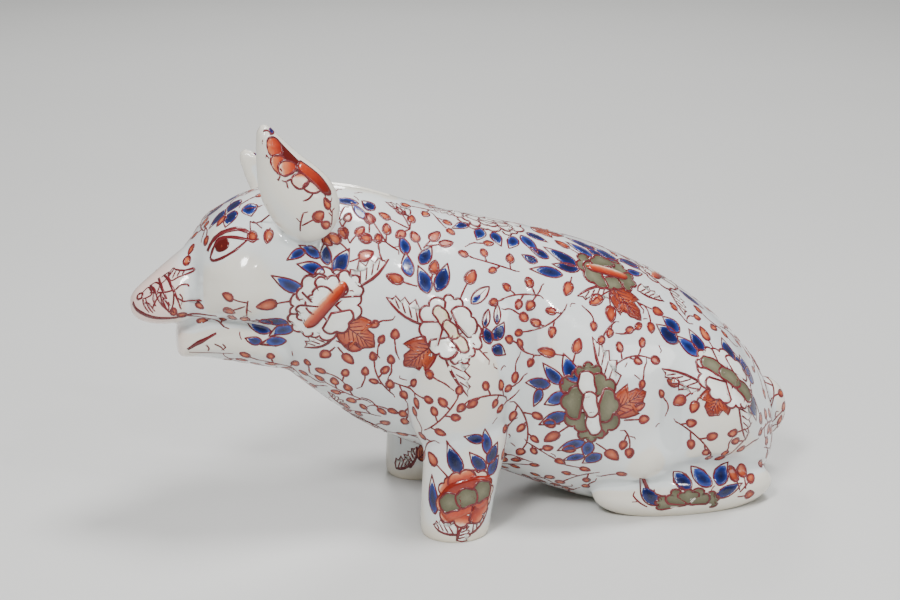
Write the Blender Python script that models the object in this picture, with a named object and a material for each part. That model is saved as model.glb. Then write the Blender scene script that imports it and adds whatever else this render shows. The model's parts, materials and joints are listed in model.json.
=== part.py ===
"""A porcelain pig money bank, built up from the potter's separate pressings.

The trunk and head are two hollow half shells, pressed in a mould and luted along the middle. The ears, the
forelegs and the tail are pressed on their own and luted to the shells, and a clay slab closes the base. A cork
stops the hole in the slab. Metres, +Z up, the pig faces -X, and the origin is under the middle of its box.
"""

import math

import bmesh
import bpy
from mathutils import Matrix, Vector

# Clay walls and clearances
WALL = 0.0055
LUTE_GAP = 0.0003
SEAT_GAP = 0.0005
HALF_GAP = 0.5 * LUTE_GAP

# Form building
RING_POINTS = 16
RING_SWELL = 1.0 / (2.0 / 3.0 + math.cos(2.0 * math.pi / RING_POINTS) / 3.0)
CAGE_LEVELS = 2
FORM_VOXEL = 0.0022
FORM_SMOOTHING = 6
FORM_FACES = 5200
CAVITY_FACES = 1300
EAR_FACES = 900
LEG_FACES = 800
TAIL_FACES = 500
FAR = 0.5

# The trunk, rump to neck: (x, top, bottom, half width, height share of the widest line)
TRUNK = (
    (0.1285, 0.0360, 0.0180, 0.011, 0.45),
    (0.1260, 0.0465, 0.0060, 0.022, 0.42),
    (0.1195, 0.0575, -0.0020, 0.031, 0.40),
    (0.1110, 0.0675, -0.0060, 0.039, 0.38),
    (0.0990, 0.0790, -0.0075, 0.044, 0.40),
    (0.0770, 0.0945, -0.0080, 0.047, 0.42),
    (0.0550, 0.1060, -0.0060, 0.047, 0.44),
    (0.0295, 0.1145, 0.0045, 0.046, 0.45),
    (0.0100, 0.1190, 0.0135, 0.043, 0.46),
    (-0.0080, 0.1240, 0.0200, 0.040, 0.47),
    (-0.0260, 0.1295, 0.0270, 0.037, 0.48),
    (-0.0430, 0.1362, 0.0355, 0.035, 0.50),
    (-0.0580, 0.1395, 0.0460, 0.033, 0.50),
    (-0.0750, 0.1390, 0.0610, 0.031, 0.50),
    (-0.0880, 0.1340, 0.0730, 0.026, 0.50),
    (-0.0960, 0.1200, 0.0880, 0.014, 0.50),
)
# The skull and snout, neck to nose
HEAD = (
    (-0.055, 0.128, 0.074, 0.020, 0.50),
    (-0.063, 0.138, 0.066, 0.030, 0.52),
    (-0.077, 0.1395, 0.072, 0.032, 0.54),
    (-0.089, 0.1375, 0.080, 0.030, 0.54),
    (-0.0985, 0.1335, 0.0855, 0.027, 0.53),
    (-0.107, 0.1265, 0.0870, 0.0225, 0.50),
    (-0.114, 0.1190, 0.0865, 0.0185, 0.46),
    (-0.121, 0.1125, 0.0860, 0.0165, 0.42),
    (-0.128, 0.1070, 0.0860, 0.0145, 0.38),
    (-0.134, 0.1025, 0.0870, 0.0110, 0.38),
    (-0.1380, 0.0990, 0.0890, 0.0072, 0.45),
    (-0.1393, 0.0965, 0.0920, 0.0032, 0.50),
)
# The lower jaw, throat to chin
JAW = (
    (-0.0710, 0.0920, 0.0615, 0.020, 0.50),
    (-0.0830, 0.0960, 0.0650, 0.024, 0.50),
    (-0.0960, 0.0950, 0.0680, 0.022, 0.52),
    (-0.1060, 0.0920, 0.0700, 0.017, 0.55),
    (-0.1140, 0.0890, 0.0715, 0.0135, 0.55),
    (-0.1185, 0.0868, 0.0712, 0.0108, 0.50),
    (-0.1208, 0.0848, 0.0712, 0.0085, 0.50),
    (-0.1214, 0.0832, 0.0722, 0.0060, 0.50),
)
# Lumps of one side, at +Y: the shoulder over the leg, and the hind foot folded flat: (centre, radii)
SHOULDER = ((-0.0120, 0.0290, 0.0560), (0.0205, 0.0185, 0.0300))
HIND_FOOT = ((0.0825, 0.0320, 0.0080), (0.0390, 0.0150, 0.0125))
TAIL = ((0.1285, 0.0, 0.0290), (0.0105, 0.010, 0.0135))

# Thumb work on one side, at +Y: (name, place, reach along each axis, height; a hollow is negative)
MODELLING = (
    ("cheek", (-0.098, 0.030, 0.104), (0.015, 0.016, 0.016), 0.0075),
    ("brow", (-0.107, 0.020, 0.125), (0.008, 0.010, 0.006), 0.0022),
    ("snout crease", (-0.1155, 0.020, 0.104), (0.0040, 0.016, 0.014), -0.0032),
    ("neck side", (-0.058, 0.035, 0.096), (0.020, 0.016, 0.024), 0.0030),
    ("shoulder", (-0.014, 0.041, 0.080), (0.020, 0.018, 0.034), 0.0068),
    ("shoulder groove", (0.0135, 0.045, 0.068), (0.0065, 0.018, 0.032), -0.0042),
    ("belly", (0.043, 0.047, 0.056), (0.019, 0.020, 0.028), 0.0050),
    ("thigh", (0.096, 0.043, 0.046), (0.018, 0.020, 0.021), 0.0085),
    ("thigh front", (0.0725, 0.049, 0.044), (0.0065, 0.016, 0.016), -0.0045),
    ("knee", (0.062, 0.047, 0.025), (0.011, 0.014, 0.009), 0.0050),
    ("hock hollow", (0.092, 0.045, 0.0215), (0.016, 0.014, 0.0050), -0.0040),
)

# The foreleg, sole to shoulder: (height, x, y, half length, half width)
FORELEG = (
    (-0.004, -0.0160, 0.0365, 0.0138, 0.0140),
    (0.004, -0.0158, 0.0365, 0.0142, 0.0145),
    (0.016, -0.0143, 0.0365, 0.0148, 0.0142),
    (0.030, -0.0118, 0.0355, 0.0160, 0.0142),
    (0.044, -0.0085, 0.0320, 0.0170, 0.0145),
    (0.056, -0.0080, 0.0270, 0.0150, 0.0120),
)

# An ear, root to tip: (distance, half width, half thickness, bow outwards, sweep forwards)
EAR = (
    (0.000, 0.0060, 0.0050, -0.0020, 0.0065),
    (0.005, 0.0118, 0.0060, 0.0000, 0.0060),
    (0.016, 0.0145, 0.0060, 0.0025, 0.0054),
    (0.026, 0.0125, 0.0052, 0.0030, 0.0060),
    (0.035, 0.0092, 0.0044, 0.0018, 0.0050),
    (0.044, 0.0052, 0.0036, 0.0002, 0.0022),
    (0.0505, 0.0022, 0.0022, -0.0008, 0.0000),
)
EAR_CUP = 0.0065
LEFT_EAR_ROOT, LEFT_EAR_TIP = (-0.0593, -0.033, 0.1295), (-0.0880, -0.031, 0.1695)
RIGHT_EAR_ROOT, RIGHT_EAR_TIP = (-0.0470, 0.030, 0.1190), (-0.0745, 0.042, 0.1360)

# The coin slot, cut along the nape
SLOT_LENGTH, SLOT_WIDTH, SLOT_X, SLOT_TOP, SLOT_BOTTOM = 0.029, 0.005, -0.0475, 0.155, 0.115

# The base opening, its slab and the cork
BASE_X, BASE_HALF_LENGTH, BASE_HALF_WIDTH, BASE_CORNER = 0.086, 0.026, 0.027, 0.018
SLAB_BOTTOM, SLAB_THICKNESS = 0.0015, 0.005
CORK_BOTTOM, CORK_LENGTH = 0.0018, 0.018
CORK_RADIUS, CORK_TAPER = 0.0128, 0.04
CORK_SEGMENTS = 40


def clear_scene():
    """Removes whatever the file holds."""
    for obj in list(bpy.data.objects):
        bpy.data.objects.remove(obj)


def add_object(name, bm):
    """An object made from a bmesh, which is freed."""
    mesh = bpy.data.meshes.new(name)
    bm.to_mesh(mesh)
    bm.free()
    obj = bpy.data.objects.new(name, mesh)
    bpy.context.scene.collection.objects.link(obj)
    return obj


def bake(obj):
    """Turns the object's modifiers into its mesh."""
    graph = bpy.context.evaluated_depsgraph_get()
    mesh = bpy.data.meshes.new_from_object(obj.evaluated_get(graph))
    obj.modifiers.clear()
    obj.data = mesh
    return obj


def skin_rings(bm, rings):
    """Bridges the rings in order and closes both ends."""
    for first, second in zip(rings, rings[1:]):
        edges = {e for v in first + second for e in v.link_edges}
        loops = [e for e in edges if e.is_boundary or not e.link_faces]
        ends = set(first) | set(second)
        bmesh.ops.bridge_loops(bm, edges=[e for e in loops if set(e.verts) <= ends])
    for ring in (rings[0], rings[-1]):
        bmesh.ops.contextual_create(bm, geom=ring)
    bmesh.ops.recalc_face_normals(bm, faces=bm.faces)


def loft(name, make_ring, stations):
    """A closed solid skinned over one ring for each station, smoothed by subdivision."""
    bm = bmesh.new()
    rings = []
    for station in stations:
        ring = bmesh.ops.create_circle(bm, segments=RING_POINTS, radius=RING_SWELL)["verts"]
        for vert in ring:
            vert.co = make_ring(station, vert.co.x, vert.co.y)
        rings.append(ring)
    skin_rings(bm, rings)
    obj = add_object(name, bm)
    smooth = obj.modifiers.new("Smooth form", "SUBSURF")
    smooth.levels = smooth.render_levels = CAGE_LEVELS
    return bake(obj)


def egg_point(station, across, up):
    """A point of a ring across X: two half ellipses that share their width."""
    x, top, bottom, half_width, widest = station
    middle = bottom + widest * (top - bottom)
    reach = (top - middle) if up > 0 else (middle - bottom)
    return Vector((x, across * half_width, middle + up * reach))


def leg_point(station, along, across):
    """A point of a level ring of the foreleg."""
    height, x, y, half_length, half_width = station
    return Vector((x + along * half_length, y + across * half_width, height))


def rounded(name, shape, side):
    """An egg-shaped lump on one side of the pig, or on its middle."""
    centre, radii = shape
    bm = bmesh.new()
    bmesh.ops.create_uvsphere(bm, u_segments=32, v_segments=20, radius=1.0)
    bm.transform(
        Matrix.Translation((centre[0], side * centre[1], centre[2])) @ Matrix.Diagonal((*radii, 1.0))
    )
    return add_object(name, bm)


def block(name, low, high):
    """A box between two corners, used as a cutter."""
    bm = bmesh.new()
    bmesh.ops.create_cube(bm, size=1.0)
    low, high = Vector(low), Vector(high)
    bm.transform(Matrix.Translation((low + high) / 2) @ Matrix.Diagonal((*(high - low), 1.0)))
    return add_object(name, bm)


def stadium(name, centre_x, half_length, half_width, corner, low, high):
    """A prism with rounded corners, standing on its outline between two heights."""
    bm = bmesh.new()
    bmesh.ops.create_grid(bm, x_segments=1, y_segments=1, size=1.0)
    bm.transform(
        Matrix.Translation((centre_x, 0.0, low)) @ Matrix.Diagonal((half_length, half_width, 1.0, 1.0))
    )
    bmesh.ops.bevel(
        bm, geom=bm.verts[:], offset=corner, segments=8, profile=0.5, affect="VERTICES", material=-1
    )
    grown = bmesh.ops.extrude_face_region(bm, geom=bm.faces[:])["geom"]
    moved = [item for item in grown if isinstance(item, bmesh.types.BMVert)]
    bmesh.ops.translate(bm, verts=moved, vec=(0.0, 0.0, high - low))
    bmesh.ops.recalc_face_normals(bm, faces=bm.faces)
    return add_object(name, bm)


def cone(name, centre_x, low, high, low_radius, high_radius):
    """A closed round solid that tapers upwards."""
    bm = bmesh.new()
    bmesh.ops.create_cone(
        bm,
        cap_ends=True,
        segments=CORK_SEGMENTS,
        radius1=low_radius,
        radius2=high_radius,
        depth=high - low,
    )
    bm.transform(Matrix.Translation((centre_x, 0.0, (low + high) / 2)))
    return add_object(name, bm)


def copy_of(obj, name):
    """A second object with its own copy of the mesh."""
    twin = bpy.data.objects.new(name, obj.data.copy())
    bpy.context.scene.collection.objects.link(twin)
    return twin


def combine(obj, other, operation, keep_other=False):
    """Applies one Boolean and removes the other solid unless it is still wanted."""
    boolean = obj.modifiers.new("Join or cut", "BOOLEAN")
    boolean.operation = operation
    boolean.object = other
    bake(obj)
    if not keep_other:
        bpy.data.objects.remove(other)
    return obj


def thinned(obj, faces):
    """Lowers the object's triangle count to about that many."""
    triangles = sum(len(face.vertices) - 2 for face in obj.data.polygons)
    thin = obj.modifiers.new("Fewer faces", "DECIMATE")
    thin.ratio = min(1.0, faces / triangles)
    return bake(obj)


def fuse(name, pieces, voxel, smoothing):
    """One smooth closed skin round all the pieces."""
    bm = bmesh.new()
    for piece in pieces:
        bm.from_mesh(piece.data)
        bpy.data.objects.remove(piece)
    obj = add_object(name, bm)
    remesh = obj.modifiers.new("One skin", "REMESH")
    remesh.mode = "VOXEL"
    remesh.voxel_size = voxel
    smooth = obj.modifiers.new("Smoothed clay", "SMOOTH")
    smooth.iterations = smoothing
    return bake(obj)


def modelled(obj):
    """Pushes the soft muscles out of the skin and presses the hollows into it, on both sides."""
    bm = bmesh.new()
    bm.from_mesh(obj.data)
    bm.normal_update()
    moves = []
    for vert in bm.verts:
        place, height = vert.co, 0.0
        for _, centre, reach, strength in MODELLING:
            away = (
                (place.x - centre[0]) / reach[0],
                (abs(place.y) - centre[1]) / reach[1],
                (place.z - centre[2]) / reach[2],
            )
            height += strength * math.exp(-sum(step * step for step in away))
        moves.append(vert.normal * height)
    for vert, move in zip(bm.verts, moves):
        vert.co += move
    bm.to_mesh(obj.data)
    bm.free()
    return obj


def pig_form():
    """The whole outside of trunk and head as one solid, flat underneath."""
    pieces = [
        loft("trunk", egg_point, TRUNK),
        loft("head", egg_point, HEAD),
        loft("jaw", egg_point, JAW),
    ]
    for side in (-1, 1):
        pieces += [rounded("shoulder", SHOULDER, side), rounded("foot", HIND_FOOT, side)]
    form = modelled(fuse("pig_form", pieces, FORM_VOXEL, FORM_SMOOTHING))
    thinned(form, FORM_FACES)
    return combine(form, block("ground", (-FAR, -FAR, -FAR), (FAR, FAR, 0.0)), "DIFFERENCE")


def cavity_form():
    """The hollow inside the trunk and skull, one wall in from the lofts."""
    stations = [
        (x, top - WALL, max(bottom, 0.0) + WALL, half_width - WALL, widest)
        for x, top, bottom, half_width, widest in TRUNK[1:-1]
    ]
    first, last = stations[0], stations[-1]
    stations[0] = (first[0] - WALL, *first[1:])
    stations[-1] = (last[0] + WALL, *last[1:])
    cavity = loft("cavity", egg_point, stations)
    return thinned(cavity, CAVITY_FACES)


def body_halves(form):
    """The two hollow pressings, with the coin slot and the base opening cut through them."""
    shell = copy_of(form, "shell")
    combine(shell, cavity_form(), "DIFFERENCE")
    slot = stadium(
        "slot",
        SLOT_X,
        SLOT_LENGTH / 2,
        SLOT_WIDTH / 2,
        0.45 * SLOT_WIDTH,
        SLOT_BOTTOM,
        SLOT_TOP,
    )
    combine(shell, slot, "DIFFERENCE")
    opening = stadium(
        "opening",
        BASE_X,
        BASE_HALF_LENGTH,
        BASE_HALF_WIDTH,
        BASE_CORNER,
        -WALL,
        3 * WALL,
    )
    combine(shell, opening, "DIFFERENCE")
    halves = []
    for name, side in (("body_left_half", -1), ("body_right_half", 1)):
        half = copy_of(shell, name)
        low, high = sorted((side * HALF_GAP, side * FAR))
        combine(half, block("side", (-FAR, low, -FAR), (FAR, high, FAR)), "INTERSECT")
        halves.append(half)
    bpy.data.objects.remove(shell)
    return halves


def swollen(form):
    """The form grown by the luting gap, to cut the pieces that sit on it."""
    cutter = copy_of(form, "seat")
    grow = cutter.modifiers.new("Gap", "DISPLACE")
    grow.mid_level = 0.0
    grow.strength = SEAT_GAP
    return bake(cutter)


def foreleg(name, side, seat):
    """A solid pressed leg with a flat sole, hollowed where it meets the shoulder."""
    leg = thinned(loft(name, leg_point, FORELEG), LEG_FACES)
    leg.data.transform(Matrix.Diagonal((1.0, side, 1.0, 1.0)))
    if side < 0:
        leg.data.flip_normals()
    combine(leg, block("ground", (-FAR, -FAR, -FAR), (FAR, FAR, 0.0)), "DIFFERENCE")
    return combine(leg, seat, "DIFFERENCE", keep_other=True)


def ear(name, side, root, tip, seat):
    """A thick leaf, cupped towards the inside, from its root on the head to its tip."""
    root, tip = Vector(root), Vector(tip)
    length = (tip - root).normalized()
    outward = Vector((0.0, side, 0.0))
    outward = (outward - outward.dot(length) * length).normalized()
    width = length.cross(outward)
    width *= -1 if width.x > 0 else 1

    def point(station, along, across):
        distance, half_width, half_thickness, bow, sweep = station
        cup = EAR_CUP * along * along * half_width / EAR[2][1]
        return (
            root
            + distance * length
            + (along * half_width + sweep) * width
            + (across * half_thickness + bow - cup) * outward
        )

    leaf = thinned(loft(name, point, EAR), EAR_FACES)
    return combine(leaf, seat, "DIFFERENCE", keep_other=True)


def tail(seat):
    """The short thick tail, luted to the rump."""
    lobe = thinned(rounded("tail", TAIL, 1), TAIL_FACES)
    return combine(lobe, seat, "DIFFERENCE", keep_other=True)


def base_slab():
    """The slab that closes the base, with the tapered hole for the cork."""
    top = SLAB_BOTTOM + SLAB_THICKNESS
    slab = stadium(
        "base_slab",
        BASE_X,
        BASE_HALF_LENGTH - LUTE_GAP,
        BASE_HALF_WIDTH - LUTE_GAP,
        BASE_CORNER - LUTE_GAP,
        SLAB_BOTTOM,
        top,
    )
    low, high = CORK_BOTTOM, CORK_BOTTOM + CORK_LENGTH
    hole = cone(
        "hole",
        BASE_X,
        low - WALL,
        high,
        CORK_RADIUS + LUTE_GAP + CORK_TAPER * WALL,
        CORK_RADIUS + LUTE_GAP - CORK_TAPER * CORK_LENGTH,
    )
    return combine(slab, hole, "DIFFERENCE")


def cork_stopper():
    """The tapered cork, wide end down, with its edges rubbed round."""
    cork = cone(
        "cork_stopper",
        BASE_X,
        CORK_BOTTOM,
        CORK_BOTTOM + CORK_LENGTH,
        CORK_RADIUS,
        CORK_RADIUS - CORK_TAPER * CORK_LENGTH,
    )
    rub = cork.modifiers.new("Rubbed edges", "BEVEL")
    rub.width = 0.0008
    rub.segments = 2
    return bake(cork)


def principled(name, colour, roughness):
    """A plain material."""
    material = bpy.data.materials.new(name)
    material.use_nodes = True
    shader = material.node_tree.nodes["Principled BSDF"]
    shader.inputs["Base Color"].default_value = (*colour, 1.0)
    shader.inputs["Roughness"].default_value = roughness
    shader.inputs["Metallic"].default_value = 0.0
    return material


def main():
    """Builds every piece, shades it and leaves only the pieces in the scene."""
    clear_scene()
    form = pig_form()
    seat = swollen(form)
    porcelain = body_halves(form)
    for word, side in (("left", -1), ("right", 1)):
        porcelain.append(foreleg(f"{word}_foreleg", side, seat))
    porcelain.append(ear("left_ear", -1, LEFT_EAR_ROOT, LEFT_EAR_TIP, seat))
    porcelain.append(ear("right_ear", 1, RIGHT_EAR_ROOT, RIGHT_EAR_TIP, seat))
    porcelain.append(tail(seat))
    slab, cork = base_slab(), cork_stopper()
    for helper in (form, seat):
        bpy.data.objects.remove(helper)
    glazed = principled("Glazed porcelain", (0.80, 0.81, 0.79), 0.08)
    biscuit = principled("Unglazed porcelain", (0.72, 0.69, 0.62), 0.75)
    bark = principled("Cork", (0.50, 0.33, 0.18), 0.85)
    finishes = [(obj, glazed) for obj in porcelain] + [(slab, biscuit), (cork, bark)]
    for obj, material in finishes:
        obj.data.materials.clear()
        obj.data.materials.append(material)
        obj.data.shade_smooth()
        obj.data.set_sharp_from_angle(angle=math.radians(40))


main()
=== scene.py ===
"""A seated porcelain pig money bank, painted in iron red, orange, cobalt blue and olive gold.

The gloss-glazed body is one skin, because the luted seams between the pressings vanish under the glaze.
The painting is laid on that skin brush stroke by brush stroke, and each pigment is one thin film.
"""

import json
import logging
import math
import random
from collections.abc import Callable, Iterable, Sequence
from dataclasses import dataclass
from enum import Enum

import bmesh
import bpy
from mathutils import Matrix, Vector
from mathutils.bvhtree import BVHTree

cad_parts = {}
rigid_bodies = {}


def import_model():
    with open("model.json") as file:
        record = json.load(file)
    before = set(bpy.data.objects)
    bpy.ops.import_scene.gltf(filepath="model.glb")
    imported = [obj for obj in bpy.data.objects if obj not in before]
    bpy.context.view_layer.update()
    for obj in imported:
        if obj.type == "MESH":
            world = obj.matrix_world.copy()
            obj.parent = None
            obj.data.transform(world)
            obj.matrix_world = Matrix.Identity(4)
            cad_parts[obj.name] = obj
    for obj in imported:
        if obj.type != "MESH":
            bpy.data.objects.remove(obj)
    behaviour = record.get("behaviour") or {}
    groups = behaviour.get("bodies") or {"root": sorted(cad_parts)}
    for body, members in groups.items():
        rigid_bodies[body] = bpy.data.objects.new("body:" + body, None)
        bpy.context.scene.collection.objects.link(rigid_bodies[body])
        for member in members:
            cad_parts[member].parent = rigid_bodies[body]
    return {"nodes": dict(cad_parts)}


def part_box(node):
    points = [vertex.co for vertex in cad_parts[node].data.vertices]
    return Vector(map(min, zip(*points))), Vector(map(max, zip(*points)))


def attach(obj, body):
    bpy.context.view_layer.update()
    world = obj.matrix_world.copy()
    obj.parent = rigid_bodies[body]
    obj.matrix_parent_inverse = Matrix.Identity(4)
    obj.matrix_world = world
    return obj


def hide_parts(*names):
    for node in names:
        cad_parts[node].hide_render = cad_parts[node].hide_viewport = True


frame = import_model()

LOG = logging.getLogger("porcelain_pig")
MM = 0.001
FAR = 0.5  # metres, beyond anything on the pig

Station = tuple[float, float, float, float, float]
Outline = list[tuple[float, float]]


# ----------------------------------------------------------------------------------------------------------
# Making and cutting meshes
# ----------------------------------------------------------------------------------------------------------


def new_piece(name: str, bm: bmesh.types.BMesh) -> bpy.types.Object:
    """Makes an object of a bmesh and frees the bmesh.

    Args:
        name: the piece's name.
        bm: the finished mesh, in place.

    Returns:
        The new object, at the origin.
    """
    mesh = bpy.data.meshes.new(name)
    bm.to_mesh(mesh)
    bm.free()
    piece = bpy.data.objects.new(name, mesh)
    bpy.context.scene.collection.objects.link(piece)
    return piece


def bake(piece: bpy.types.Object) -> bpy.types.Object:
    """Turns a piece's modifiers into its mesh and returns the piece."""
    graph = bpy.context.evaluated_depsgraph_get()
    mesh = bpy.data.meshes.new_from_object(piece.evaluated_get(graph))
    piece.modifiers.clear()
    piece.data = mesh
    return piece


def cut(piece: bpy.types.Object, cutter: bpy.types.Object) -> bpy.types.Object:
    """Takes the cutter out of the piece, removes the cutter and returns the piece."""
    boolean = piece.modifiers.new("Cut", "BOOLEAN")
    boolean.operation = "DIFFERENCE"
    boolean.object = cutter
    bake(piece)
    bpy.data.objects.remove(cutter)
    return piece


def loft(
    make_point: Callable[..., Vector], stations: Sequence[tuple[float, ...]], points: int = 16
) -> bpy.types.Object:
    """Skins a closed solid over one ring for each station and smooths it by subdivision.

    Args:
        make_point: gives a ring's point from its station and its place on a unit circle.
        stations: the sizes of the rings, in order.
        points: how many points a ring has.

    Returns:
        The solid as an object.
    """
    swell = 1.0 / (2.0 / 3.0 + math.cos(2.0 * math.pi / points) / 3.0)
    bm = bmesh.new()
    rings = []
    for station in stations:
        ring = bmesh.ops.create_circle(bm, segments=points, radius=swell)["verts"]
        for vert in ring:
            vert.co = make_point(station, vert.co.x, vert.co.y)
        rings.append(ring)
    for first, second in zip(rings, rings[1:]):
        ends = set(first) | set(second)
        edges = {e for v in ends for e in v.link_edges if set(e.verts) <= ends and len(e.link_faces) < 2}
        bmesh.ops.bridge_loops(bm, edges=list(edges))
    for ring in (rings[0], rings[-1]):
        bmesh.ops.contextual_create(bm, geom=ring)
    bmesh.ops.recalc_face_normals(bm, faces=bm.faces)
    piece = new_piece("loft", bm)
    smooth = piece.modifiers.new("Smooth form", "SUBSURF")
    smooth.levels = smooth.render_levels = 3
    return bake(piece)


def egg_point(station: Station, across: float, up: float) -> Vector:
    """Gives a point of a ring across X, made of two half ellipses that share their width."""
    x, top, bottom, half_width, widest = station
    middle = bottom + widest * (top - bottom)
    reach = (top - middle) if up > 0 else (middle - bottom)
    return Vector((x, across * half_width, middle + up * reach))


def lump(centre: Sequence[float], radii: Sequence[float]) -> bpy.types.Object:
    """Makes an egg-shaped lump of clay."""
    bm = bmesh.new()
    bmesh.ops.create_uvsphere(bm, u_segments=64, v_segments=40, radius=1.0)
    bm.transform(Matrix.Translation(centre) @ Matrix.Diagonal((*radii, 1.0)))
    return new_piece("lump", bm)


def prism(
    centre: Sequence[float], half_length: float, half_width: float, corner: float, low: float, high: float
) -> bpy.types.Object:
    """Makes an upright prism on a rectangle with rounded corners.

    Args:
        centre: the rectangle's middle, (x, y).
        half_length: half its size along X.
        half_width: half its size along Y.
        corner: the radius of its corners.
        low: the height of its bottom.
        high: the height of its top.

    Returns:
        The prism as an object.
    """
    bm = bmesh.new()
    bmesh.ops.create_grid(bm, x_segments=1, y_segments=1, size=1.0)
    scale = Matrix.Diagonal((half_length, half_width, 1.0, 1.0))
    bm.transform(Matrix.Translation((centre[0], centre[1], low)) @ scale)
    bmesh.ops.bevel(
        bm, geom=bm.verts[:], offset=corner, segments=8, profile=0.5, affect="VERTICES", material=-1
    )
    grown = bmesh.ops.extrude_face_region(bm, geom=bm.faces[:])["geom"]
    moved = [item for item in grown if isinstance(item, bmesh.types.BMVert)]
    bmesh.ops.translate(bm, verts=moved, vec=(0.0, 0.0, high - low))
    bmesh.ops.recalc_face_normals(bm, faces=bm.faces)
    return new_piece("prism", bm)


# ----------------------------------------------------------------------------------------------------------
# The clay
# ----------------------------------------------------------------------------------------------------------


@dataclass(frozen=True)
class Ear:
    """A thick leaf of clay, cupped inwards.

    Its stations are distance, half width, half thickness, bow and sweep.
    """

    root: tuple[float, float, float]
    tip: tuple[float, float, float]
    side: int
    cup: float = 0.0065
    stations: tuple[Station, ...] = (
        (0.000, 0.0060, 0.0050, -0.0020, 0.0065),
        (0.005, 0.0118, 0.0060, 0.0000, 0.0060),
        (0.016, 0.0145, 0.0060, 0.0025, 0.0054),
        (0.026, 0.0125, 0.0052, 0.0030, 0.0060),
        (0.035, 0.0092, 0.0044, 0.0018, 0.0050),
        (0.044, 0.0052, 0.0036, 0.0002, 0.0022),
        (0.0505, 0.0022, 0.0022, -0.0008, 0.0000),
    )

    def build(self) -> bpy.types.Object:
        """Builds the ear as a closed solid and returns it."""
        root, tip = Vector(self.root), Vector(self.tip)
        length = (tip - root).normalized()
        outward = Vector((0.0, self.side, 0.0))
        outward = (outward - outward.dot(length) * length).normalized()
        width = length.cross(outward)
        width *= -1 if width.x > 0 else 1
        widest = self.stations[2][1]

        def point(station: Station, along: float, across: float) -> Vector:
            """Gives one point of a ring across the ear."""
            distance, half_width, half_thickness, bow, sweep = station
            inwards = self.cup * along * along * half_width / widest
            aside = (along * half_width + sweep) * width
            return root + distance * length + aside + (across * half_thickness + bow - inwards) * outward

        return loft(point, self.stations)


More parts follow.
